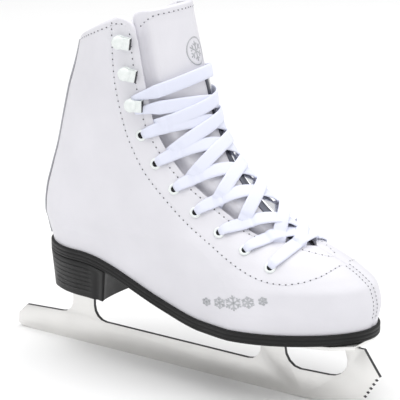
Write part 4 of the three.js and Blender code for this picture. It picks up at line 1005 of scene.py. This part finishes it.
HEEL_RIBS = 6
RIBS_FROM, RIBS_TO = 0.10, 0.86       # shares of the heel's height
PLATE_TOP = SOLE_TOP_FRONT - SOLE_THICKNESS - CEMENT_GAP - 0.3
HEEL_STEPS = 121
HEEL_BACK_TAPER, HEEL_SIDE_TAPER = 0.5, 7.0


def heel_ring(share, dent):
    back, front, _, _, heel = section(FEATHER_LEVEL)[:5]
    breast = mix(104, 111, share)
    reach = math.acos(1 - 2 * (breast - back) / (front - back))
    middle = (back + breast) / 2
    way = np.abs(np.linspace(-1, 1, HEEL_STEPS))
    # the ribs run along the two sides only, and an upright groove parts them from the breast
    ribbed = smooth((way - 0.36) / 0.1) * smooth((0.9 - way) / 0.05)
    pulled = dent * ribbed + 0.9 * np.exp(-((way - 0.95) / 0.022) ** 2) * smooth((0.93 - share) / 0.05)
    p = raw_point(np.linspace(-reach, reach, HEEL_STEPS), FEATHER_LEVEL)
    behind = SOLE_LIP - (1 - share) * HEEL_BACK_TAPER
    x = middle + (p[:, 0] - middle) * (1 + np.where(p[:, 0] < middle, behind / (middle - back), 0))
    y = p[:, 1] * (1 + (SOLE_LIP - (1 - share) * HEEL_SIDE_TAPER - pulled) / heel)
    # the front corners are eased and the breast is slightly hollow
    t = np.linspace(0, 1, 16)[1:-1]
    hollow = breast - 3.2 * np.sqrt(np.sin(math.pi * t))
    x = np.concatenate([x, hollow])
    y = np.concatenate([y, mix(y[-1], y[0], t)])
    top = sole_top(x) - SOLE_THICKNESS - CEMENT_GAP - 0.08
    return np.stack([x, y, mix(PLATE_TOP + 0.3, top, share)], -1)


def heel_block():
    rings = [heel_ring(0, 0.5), heel_ring(0.012, 0.15), heel_ring(0.03, 0)]
    tall = (RIBS_TO - RIBS_FROM) / HEEL_RIBS
    for i in range(HEEL_RIBS):
        start = mix(RIBS_FROM, RIBS_TO, i / HEEL_RIBS)
        for part, dent in ((0.0, 0.0), (0.8, 0.0), (0.83, -0.3), (0.9, -0.3), (0.93, 0.0)):
            rings.append(heel_ring(start + part * tall, dent))
    rings += [heel_ring(0.9, 0), heel_ring(0.97, 0), heel_ring(0.985, 0.3), heel_ring(1, 0.4)]
    finish_mesh("ribbed_heel", loft(rings), RUBBER, BOOT, ("heel_block",))


# ---------------------------------------------------------------- blade and fittings
def foot_of(name):
    """The middle of the bottom of a CAD node's box, and the box's size, in metres."""
    low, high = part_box(name)
    return Vector(((low.x + high.x) / 2, (low.y + high.y) / 2, low.z)), high - low


def blade_and_plates():
    blade = cad_copy("ground_blade", "blade", BLADE_STEEL, 0.25, PLATE_TOP - 3.5)
    blade.data.materials.append(SHADED_EDGE_STEEL)
    for face in blade.data.polygons:
        # painted shade: every face across the blade's thickness but the running edge, which is ground too,
        # is picked by the way it faces and made dark
        if abs(face.normal.y) < 0.5 and face.normal.z > -0.75:
            face.material_index = 1
    cad_copy("front_mounting_plate", "front_sole_plate", BLADE_STEEL, 0.4, 0.0)
    cad_copy("heel_mounting_plate", "heel_plate", BLADE_STEEL, 0.4)
    head = [(0, 0), (1.6, 0.02), (2.6, 0.25), (3.3, 0.75), (3.6, 1.3), (3.6, 1.6), (1.7, 1.6),
            (1.7, 7.2), (0, 9.0)]
    for group, count in (("front_screw", 6), ("heel_screw", 4)):
        for i in range(1, count + 1):
            foot = foot_of(f"{group}_{i}")[0]
            foot.z += float(toe_lift((foot.x - LAST_ORIGIN[0]) / MM)) * MM
            spot = Matrix.Translation(foot)
            piece = finish_mesh(f"{group}_{i}_pan_head", spun(head, spot, 24), SCREW_STEEL, BOOT,
                                (f"{group}_{i}",))
            rounded(piece, 0.15, 2, 30)
            # painted shade: two flat dark boxes across each head stand for the shade in its cross recess
            recess_shades = bmesh.new()
            for way in (0.4, 0.4 + math.pi / 2):
                lean = Matrix.Rotation(way, 4, "Z")
                bmesh.ops.create_cube(recess_shades, size=1.0, matrix=spot @ lean @ sized(3.8, 0.8, 0.5))
            cross = finish_mesh(f"{group}_{i}_cross_recess_shade", recess_shades, HOLE_DARK, BOOT,
                                smooth_faces=False)
            rounded(cross, 0.1, 1)


def lacing_places():
    places = []
    level = LOWEST_EYELET
    last = None
    while len(places) < EYELETS + HOOKS:
        turn = float(turn_at_setback(level, EYELET_SETBACK))
        spot = raw_point(turn, level)
        if last is None or np.linalg.norm(spot - last) >= LACE_PITCH:
            places.append((level, turn))
            last = spot
        level += 0.25
    return places


LACING = lacing_places()


def hardware_matrix(i, side, forward=False):
    level, turn = LACING[i]
    spot = skin(side * turn, level)
    normal = normal_at(side * turn, level)
    towards = skin(side * turn, level + 2) - spot
    if forward:
        ahead = skin(side * (turn + 0.03), level) - spot
        towards = ahead / np.linalg.norm(ahead)
    return seat_matrix(place(spot), normal, towards)


EYELET_PROFILE = [(2.25, -3.4), (2.25, 0.55), (2.45, 0.95), (2.85, 1.18), (3.35, 1.15), (3.9, 0.8),
                  (4.2, 0.3), (4.15, 0.02), (2.8, 0.02), (2.8, -3.4), (2.25, -3.4)]
HOOK_BASE = [(0, -3.2), (1.6, -3.2), (1.6, 0.05), (4.7, 0.05), (4.8, 0.6), (4.4, 1.1), (0, 1.2)]
HOOK_DOME = [(0, 4.0), (4.3, 4.0), (4.75, 4.2), (4.9, 4.6), (4.7, 5.3), (3.9, 6.0), (2.4, 6.5),
             (0, 6.7)]


# painted shade: a dark steel box at a hook's mouth stands for the shade there: its middle from the hook's
# foot, and its size
HOOK_MOUTH_AT, HOOK_MOUTH = (0, 8.5, 2.7), (8.3, 0.5, 3.2)


def eyelets_and_hooks():
    for label, side in SIDES:
        for i in range(EYELETS):
            bm = spun(EYELET_PROFILE, hardware_matrix(i, side), 28)
            finish_mesh(f"{label}_eyelet_ring_{i + 1}", bm, ENAMEL, BOOT,
                        (f"{label}_eyelet_{i + 1}",))
        # painted shade: a flat dark disc in each eyelet's hole stands for the shade inside it
        bore_shades = bmesh.new()
        for i in range(EYELETS):
            lift = Matrix.Translation((0, 0, 0.3 * MM))
            bmesh.ops.create_circle(bore_shades, cap_ends=True, segments=20, radius=2.3 * MM,
                                    matrix=hardware_matrix(i, side) @ lift)
        finish_mesh(f"{label}_eyelet_bore_shades", bore_shades, HOLE_DARK)
        mouth_shades = bmesh.new()
        for i in range(EYELETS, EYELETS + HOOKS):
            matrix = hardware_matrix(i, side, forward=True)
            hook = spun(HOOK_DOME, matrix, 28, spun(HOOK_BASE, matrix, 28))
            hook_tab(hook, matrix)
            # painted shade: the dark box at the hook's mouth
            mouth = Matrix.Translation(Vector(HOOK_MOUTH_AT) * MM) @ sized(*HOOK_MOUTH)
            bmesh.ops.create_cube(mouth_shades, size=1.0, matrix=matrix @ mouth)
            piece = finish_mesh(f"{label}_speed_hook_{i - EYELETS + 1}", hook, ENAMEL, BOOT,
                                (f"{label}_hook_{i - EYELETS + 1}",))
            rounded(piece, 0.25, 2, 45)
        edges = finish_mesh(f"{label}_hook_mouth_shades", mouth_shades, SHADED_EDGE_STEEL, BOOT, smooth_faces=False)
        rounded(edges, 0.12, 1)


TAB_WIDTH, TAB_THICKNESS = 8.4, 1.0
# the tab's middle line beside the post: towards the tongue, and up off the leather
HOOK_CURL = np.array([(0.0, 0.7), (3.0, 0.7), (6.2, 0.75), (7.6, 1.3), (8.2, 2.4), (8.1, 3.6),
                      (7.4, 4.5), (6.0, 4.75), (3.0, 4.8), (0.0, 4.8)])


def hook_tab(bm, matrix):
    """The strap that joins the hook's base to its dome on the tongue side, curled over."""
    way = np.arange(len(HOOK_CURL))
    along = monotone(way, HOOK_CURL[:, 0]), monotone(way, HOOK_CURL[:, 1])
    verts, _, _ = flat_grid(bm, 24, 4)
    faces = list({face for vert in verts for face in vert.link_faces})
    back = [g for g in bmesh.ops.extrude_face_region(bm, geom=faces)["geom"]
            if isinstance(g, bmesh.types.BMVert)]
    for group, off in ((verts, TAB_THICKNESS / 2), (back, -TAB_THICKNESS / 2)):
        for vert in group:
            s = (vert.co.x + 0.5) * way[-1]
            across = vert.co.y * TAB_WIDTH
            x, z = float(along[0](s)), float(along[1](s))
            dx = float(along[0](s + 0.05) - along[0](s - 0.05))
            dz = float(along[1](s + 0.05) - along[1](s - 0.05))
            long = math.hypot(dx, dz) or 1
            vert.co = matrix @ (Vector((across, x + off * dz / long, z - off * dx / long)) * MM)
    bmesh.ops.recalc_face_normals(bm, faces=list({f for v in verts + back for f in v.link_faces}))


# ---------------------------------------------------------------- the lace
LACE_LIFT, OVER = 0.5, 1.6            # off the face, and how much more where it crosses over
STRIP_PROUD = 1.6
TO_CM = 0.1                           # the weave is laid out in centimetres


def half_width_at(level, setback):
    _, _, _, front_cap, _, _, ball = section(level)
    return ball * np.sqrt(1 - (1 - setback / front_cap) ** 2)


def level_along(y, way, target):
    low, high = np.full_like(y, 92.0), np.full_like(y, 262.0)
    for _ in range(22):
        level = (low + high) / 2
        below = raw_point(turn_at_y(level, y), level) @ way < target
        low, high = np.where(below, level, low), np.where(below, high, level)
    return (low + high) / 2


def front_face(y, level):
    inside = 1 - smooth((np.abs(y) - throat_half(level) + 4) / 4)
    return np.maximum(0, tongue_level(y, level)) + inside * (STRIP_PROUD + 0.4)


def lace_run(name, start, stop, over, bow=0.0):
    """One flat strand. Each end is (y, level, kind), and bow curves it up the instep."""
    def length_along(points):
        return np.concatenate([[0], np.cumsum(np.linalg.norm(np.diff(points, axis=0), axis=1))])

    p0 = raw_point(turn_at_y(start[1], start[0]), start[1])
    p1 = raw_point(turn_at_y(stop[1], stop[0]), stop[1])
    middle = (start[1] + stop[1]) / 2
    way = raw_point(math.pi, middle + 6) - raw_point(math.pi, middle - 6)
    way[1] = 0
    way = way / np.linalg.norm(way)
    t = np.linspace(0, 1, 61)
    y = mix(start[0], stop[0], t)
    rise = mix(p0 @ way, p1 @ way, t) + bow * np.sin(math.pi * t)
    level = level_along(y, way, rise)
    turn = turn_at_y(level, y)
    face = front_face(y, level) + LACE_LIFT + over * np.sin(math.pi * t) ** 2
    far = length_along(skin(turn, level, face))
    width = np.full_like(t, LACE_WIDTH)
    for gone, kind in ((far, start[2]), (far[-1] - far, stop[2])):
        if kind == "eyelet":
            face = face + np.interp(gone, (0, 1.6, 3.2, 5, 8, 13), (-3.2, -0.6, 0.9, 1.0, 0.5, 0))
            width = np.minimum(width, np.interp(gone, (0, 3, 6, 12, 20), (5.2, 6.6, 7.8, 9.0, LACE_WIDTH)))
        elif kind == "edge":
            face = mix(-3.9, face, smooth(gone / 7))
        elif kind == "hook":
            face = mix(2.2, face, smooth(gone / 9))
            width = np.minimum(width, np.interp(gone, (0, 4, 9, 18), (3.6, 5.0, 6.6, LACE_WIDTH)))
    centre = skin(turn, level, face)
    normals = normal_at(turn, level)
    along = np.gradient(centre, axis=0)
    along /= np.linalg.norm(along, axis=1, keepdims=True)
    side = np.cross(along, normals)
    side /= np.linalg.norm(side, axis=1, keepdims=True)
    up = np.cross(side, along)
    far = length_along(centre)

    def at(top):
        def point(u, v):
            k = np.clip(u, 0, 1) * (len(t) - 1)
            i = np.clip(k.astype(int), 0, len(t) - 2)
            f = (k - i)[:, None]
            pick = [mix(a[i], a[i + 1], f) for a in (centre, side, up)]
            wide = mix(width[i], width[i + 1], f[:, 0])
            swell = np.sqrt(np.clip(1 - (2 * v - 1) ** 4, 0, 1))
            thick = LACE_THICKNESS * (LACE_WIDTH / np.maximum(wide, 5.5)) ** 0.4
            lift = thick * (0.5 + (0.5 if top else -0.5) * mix(0.25, 1, swell))
            return pick[0] + pick[1] * ((v - 0.5) * wide)[:, None] + pick[2] * lift[:, None]
        return point

    def uv(u, v):
        k = np.clip(u, 0, 1) * (len(t) - 1)
        return np.interp(k, np.arange(len(t)), far) * TO_CM, (v - 0.5) * TO_CM * LACE_WIDTH
    bm = shell(60, 10, at(True), at(False), uv)
    return finish_mesh(name, bm, WEAVE, BOOT, ("lace",))


def eyelet_end(i, side):
    level = LACING[i][0]
    return side * float(half_width_at(level, EYELET_SETBACK)), level, "eyelet"


def hook_end(i, side, shift=0.0):
    level = LACING[i][0] + shift
    return side * float(half_width_at(level, EYELET_SETBACK - 1.5)), level, "hook"


def edge_start(i, side, share=0.3):
    level = max(mix(LACING[i][0], LACING[i + 1][0], share), 112)
    return side * (float(throat_half(level + 2.8)) + 0.8), level, "edge"


def lacing():
    lace_run("lace_bar", eyelet_end(0, -1), eyelet_end(0, 1), 0.3)
    for i in range(EYELETS - 1):
        lace_run(f"lace_under_{i + 1}", edge_start(i, 1, 0.12), eyelet_end(i + 1, -1), 0.0, 2.0)
        lace_run(f"lace_over_{i + 1}", edge_start(i, -1), eyelet_end(i + 1, 1), OVER, 0.5)
    top = EYELETS - 1
    lace_run("lace_to_outer_hook", edge_start(top, 1), hook_end(top + 1, -1, -4.5), 0.0, 2.0)
    lace_run("lace_to_inner_hook", edge_start(top, -1), hook_end(top + 1, 1, -2.0), OVER)
    lace_run("lace_top_band", hook_end(top + 1, -1, 4.5), hook_end(top + 2, 1, -10.0), OVER, 5.0)


def lace_ends():
    """The two ends, tucked down inside the shaft on its inner side."""
    for i in (1, 2):
        foot, size = foot_of(f"lace_tail_{i}")
        line = np.array([(foot.x, foot.y - 0.0012 * math.sin(k / 2), foot.z + size.z * (1 - k / 24))
                         for k in range(25)])
        wide = size.x * 0.92

        def at(thick, line=line, wide=wide):
            def point(u, v):
                k = u * (len(line) - 1)
                p = np.stack([np.interp(k, np.arange(len(line)), line[:, c]) for c in range(3)], -1)
                narrow = mix(1.0, 0.32, smooth((u - 0.9) / 0.1))
                twist = 0.5 * np.sin(2.2 * u)
                p[:, 0] += (v - 0.5) * wide * narrow * np.cos(twist)
                p[:, 1] += (v - 0.5) * wide * narrow * np.sin(twist) + thick * 0.0006
                return (p - LAST_ORIGIN) / MM
            return point
        bm = shell(48, 8, at(1), at(-1), lambda u, v: (u * 6.0, (v - 0.5) * 0.8))
        finish_mesh(f"lace_end_{i}", bm, WEAVE, BOOT, (f"lace_tail_{i}",))
        foot, size = foot_of(f"lace_aglet_{i}")
        tall, radius = size.z / MM, size.x / 2 / MM
        tip = [(0, 0), (radius * 0.7, 0.1), (radius * 0.95, 0.6), (radius, 1.4), (radius, tall - 1.2),
               (radius * 0.9, tall - 0.4), (radius * 0.6, tall), (0, tall)]
        finish_mesh(f"lace_tip_{i}", spun(tip, Matrix.Translation(foot), 20), AGLET, BOOT,
                    (f"lace_aglet_{i}",))


def hidden_boards():
    """Stiffeners between leather and lining, seen only in a cut-away, keep their CAD shape."""
    for name in ("heel_counter", "toe_puff"):
        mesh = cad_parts[name].data
        mesh.materials.clear()
        mesh.materials.append(FIBRE)


for label, side in SIDES:
    upper(label, side)
    facing_lining(label, side)
boot_lining()
backstay()
upper_seams()
tongue()
tongue_stitching()
tongue_strip()
prints()
soles()
heel_block()
blade_and_plates()
eyelets_and_hooks()
lacing()
lace_ends()
hidden_boards()


# ---------------------------------------------------------------- floor, light, camera
def studio():
    bm = bmesh.new()
    bmesh.ops.create_grid(bm, x_segments=1, y_segments=1, size=6.0)
    paint = mottled("pale_studio_floor", "#f4f4f4", "#f8f8f8", 0.9, 3.0, 0.0)
    finish_mesh("floor", bm, paint, None, smooth_faces=False)
    world = bpy.data.worlds.new("studio")
    world.use_nodes = True
    world.node_tree.nodes["Background"].inputs["Color"].default_value = (1, 1, 1, 1)
    world.node_tree.nodes["Background"].inputs["Strength"].default_value = 0.6
    bpy.context.scene.world = world
    bpy.context.scene.view_settings.view_transform = "Standard"
    lights = (("key", (-0.9, -1.6, 1.3), 1.2, 3), ("fill", (1.4, -1.2, 0.9), 1.4, 1.5),
              ("top", (0.1, 0.0, 2.0), 2.6, 42), ("back", (0.3, 1.6, 1.0), 1.4, 2))
    for name, where, size, power in lights:
        data = bpy.data.lights.new(name, "AREA")
        data.size = size
        data.energy = power
        lamp = bpy.data.objects.new(name, data)
        lamp.location = where
        lamp.rotation_euler = (Vector((0, 0, 0.13)) - Vector(where)).to_track_quat("-Z", "Y").to_euler()
        bpy.context.scene.collection.objects.link(lamp)


def camera():
    azimuth, elevation, distance = math.radians(35), math.radians(16.5), 1.434
    target = Vector(place((171.9, 0.0, 130.55)))
    way = Vector((math.sin(azimuth) * math.cos(elevation), -math.cos(azimuth) * math.cos(elevation),
                  math.sin(elevation)))
    data = bpy.data.cameras.new("camera")
    data.sensor_width = 36
    data.lens = 180.2
    data.clip_start = 0.05
    shot = bpy.data.objects.new("camera", data)
    shot.location = target + way * distance
    shot.rotation_euler = (-way).to_track_quat("-Z", "Y").to_euler()
    bpy.context.scene.collection.objects.link(shot)
    bpy.context.scene.camera = shot


studio()
camera()
